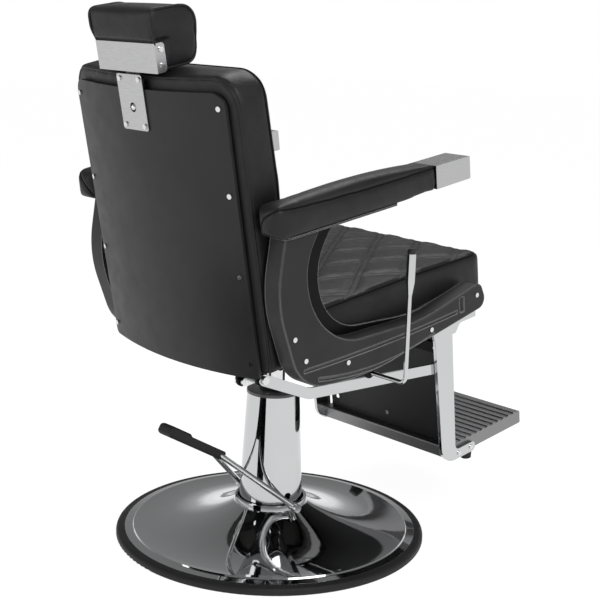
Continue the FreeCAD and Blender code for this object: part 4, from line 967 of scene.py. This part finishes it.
def make_floor():
    """White floor. It glows for the camera and in reflections, and lamps light it as a plain white one."""
    reach = FLOOR_REACH
    corners = [(-reach, -reach, 0), (reach, -reach, 0), (reach, reach, 0), (-reach, reach, 0)]
    floor, tree, shader = stage_face("floor", corners, colour=(0.86, 0.86, 0.86), roughness=0.9)
    glow = tree.nodes.new("ShaderNodeEmission")
    glow.inputs["Color"].default_value = (1, 1, 1, 1)
    glow.inputs["Strength"].default_value = FLOOR_GLOW
    share = add(tree, "ShaderNodeMath", operation="MULTIPLY")
    share.inputs[1].default_value = FLOOR_GLOW_SHARE
    seen = ray_kinds(tree, "Is Camera Ray", "Is Glossy Ray", "Is Transmission Ray")
    tree.links.new(seen, share.inputs[0])
    surface = blend(tree, share.outputs[0], shader.outputs[0], glow.outputs[0])
    tree.links.new(surface, tree.nodes["Material Output"].inputs["Surface"])


def make_flag(name, place, width):
    """Black card on the floor, facing the chair, that only polished metal shows."""
    away = Vector((place[0], place[1], 0))
    across = Vector((0, 0, 1)).cross(away).normalized() * width / 2
    up = Vector((0, 0, CARD_HEIGHT))
    corners = [away - across, away + across, away + across + up, away - across + up]
    flag, _, shader = stage_face(name, corners, colour=(0.01, 0.01, 0.01), roughness=1.0)
    shader.inputs["Specular IOR Level"].default_value = 0.0
    flag.visible_camera = False
    flag.visible_diffuse = False
    flag.visible_shadow = False


def ray_kinds(tree, first, *others):
    """1 for rays of these kinds, else 0."""
    path = tree.nodes.new("ShaderNodeLightPath")
    total = path.outputs[first]
    for kind in others:
        largest = add(tree, "ShaderNodeMath", operation="MAXIMUM")
        tree.links.new(total, largest.inputs[0])
        tree.links.new(path.outputs[kind], largest.inputs[1])
        total = largest.outputs[0]
    return total


def height_ramp(tree, levels):
    """Grey levels, a trace blue, by the height of the direction."""
    place = tree.nodes.new("ShaderNodeTexCoord")
    parts = tree.nodes.new("ShaderNodeSeparateXYZ")
    tree.links.new(place.outputs["Generated"], parts.inputs[0])
    node = tree.nodes.new("ShaderNodeValToRGB")
    while len(node.color_ramp.elements) < len(levels):
        node.color_ramp.elements.new(0.5)
    for element, (height, level) in zip(node.color_ramp.elements, levels):
        element.position = (height + 1) / 2
        element.color = (level, level, level * 1.01, 1)
    half = add(tree, "ShaderNodeMath", operation="MULTIPLY_ADD")
    half.inputs[1].default_value = 0.5
    half.inputs[2].default_value = 0.5
    tree.links.new(parts.outputs["Z"], half.inputs[0])
    tree.links.new(half.outputs[0], node.inputs["Fac"])
    return node.outputs["Color"]


def make_world():
    """White for the camera, a studio for the light, and one that is darker overhead for reflections."""
    world = bpy.data.worlds.new("studio")
    scene.world = world
    world.use_nodes = True
    tree = world.node_tree
    light = tree.nodes["Background"]
    light.inputs["Strength"].default_value = LIGHT_STRENGTH
    tree.links.new(height_ramp(tree, LIGHT_LEVELS), light.inputs["Color"])
    mirror = tree.nodes.new("ShaderNodeBackground")
    tree.links.new(height_ramp(tree, MIRROR_LEVELS), mirror.inputs["Color"])
    white = tree.nodes.new("ShaderNodeBackground")
    white.inputs["Color"].default_value = (1, 1, 1, 1)
    in_metal = ray_kinds(tree, "Is Glossy Ray", "Is Transmission Ray")
    around = blend(tree, in_metal, light.outputs[0], mirror.outputs[0])
    surface = blend(tree, ray_kinds(tree, "Is Camera Ray"), around, white.outputs[0])
    tree.links.new(surface, tree.nodes["World Output"].inputs["Surface"])


def make_lamp(name, place, target, size, power):
    """Rectangular lamp that shines towards a target."""
    data = bpy.data.lights.new(name, "AREA")
    data.shape = "RECTANGLE"
    data.size, data.size_y = size
    data.energy = power
    lamp = bpy.data.objects.new(name, data)
    scene.collection.objects.link(lamp)
    lamp.location = place
    aim = Vector(target) - Vector(place)
    lamp.rotation_mode = "QUATERNION"
    lamp.rotation_quaternion = aim.to_track_quat("-Z", "Y")


make_camera()
make_floor()
make_world()
make_lamp("key", place=(-2.6, 0.4, 2.6), target=(0, 0, 0.6), size=(1.6, 1.6), power=46.0)
make_lamp("fill", place=(0.6, 3.0, 1.6), target=(0, 0, 0.6), size=(1.6, 2.2), power=20.0)
make_lamp("top", place=(0.7, -1.2, 3.2), target=(0, 0, 0.7), size=(1.5, 1.5), power=38.0)
make_flag("flag_behind", place=(-0.075, 0.55), width=0.24)

scene.view_settings.view_transform = "Standard"
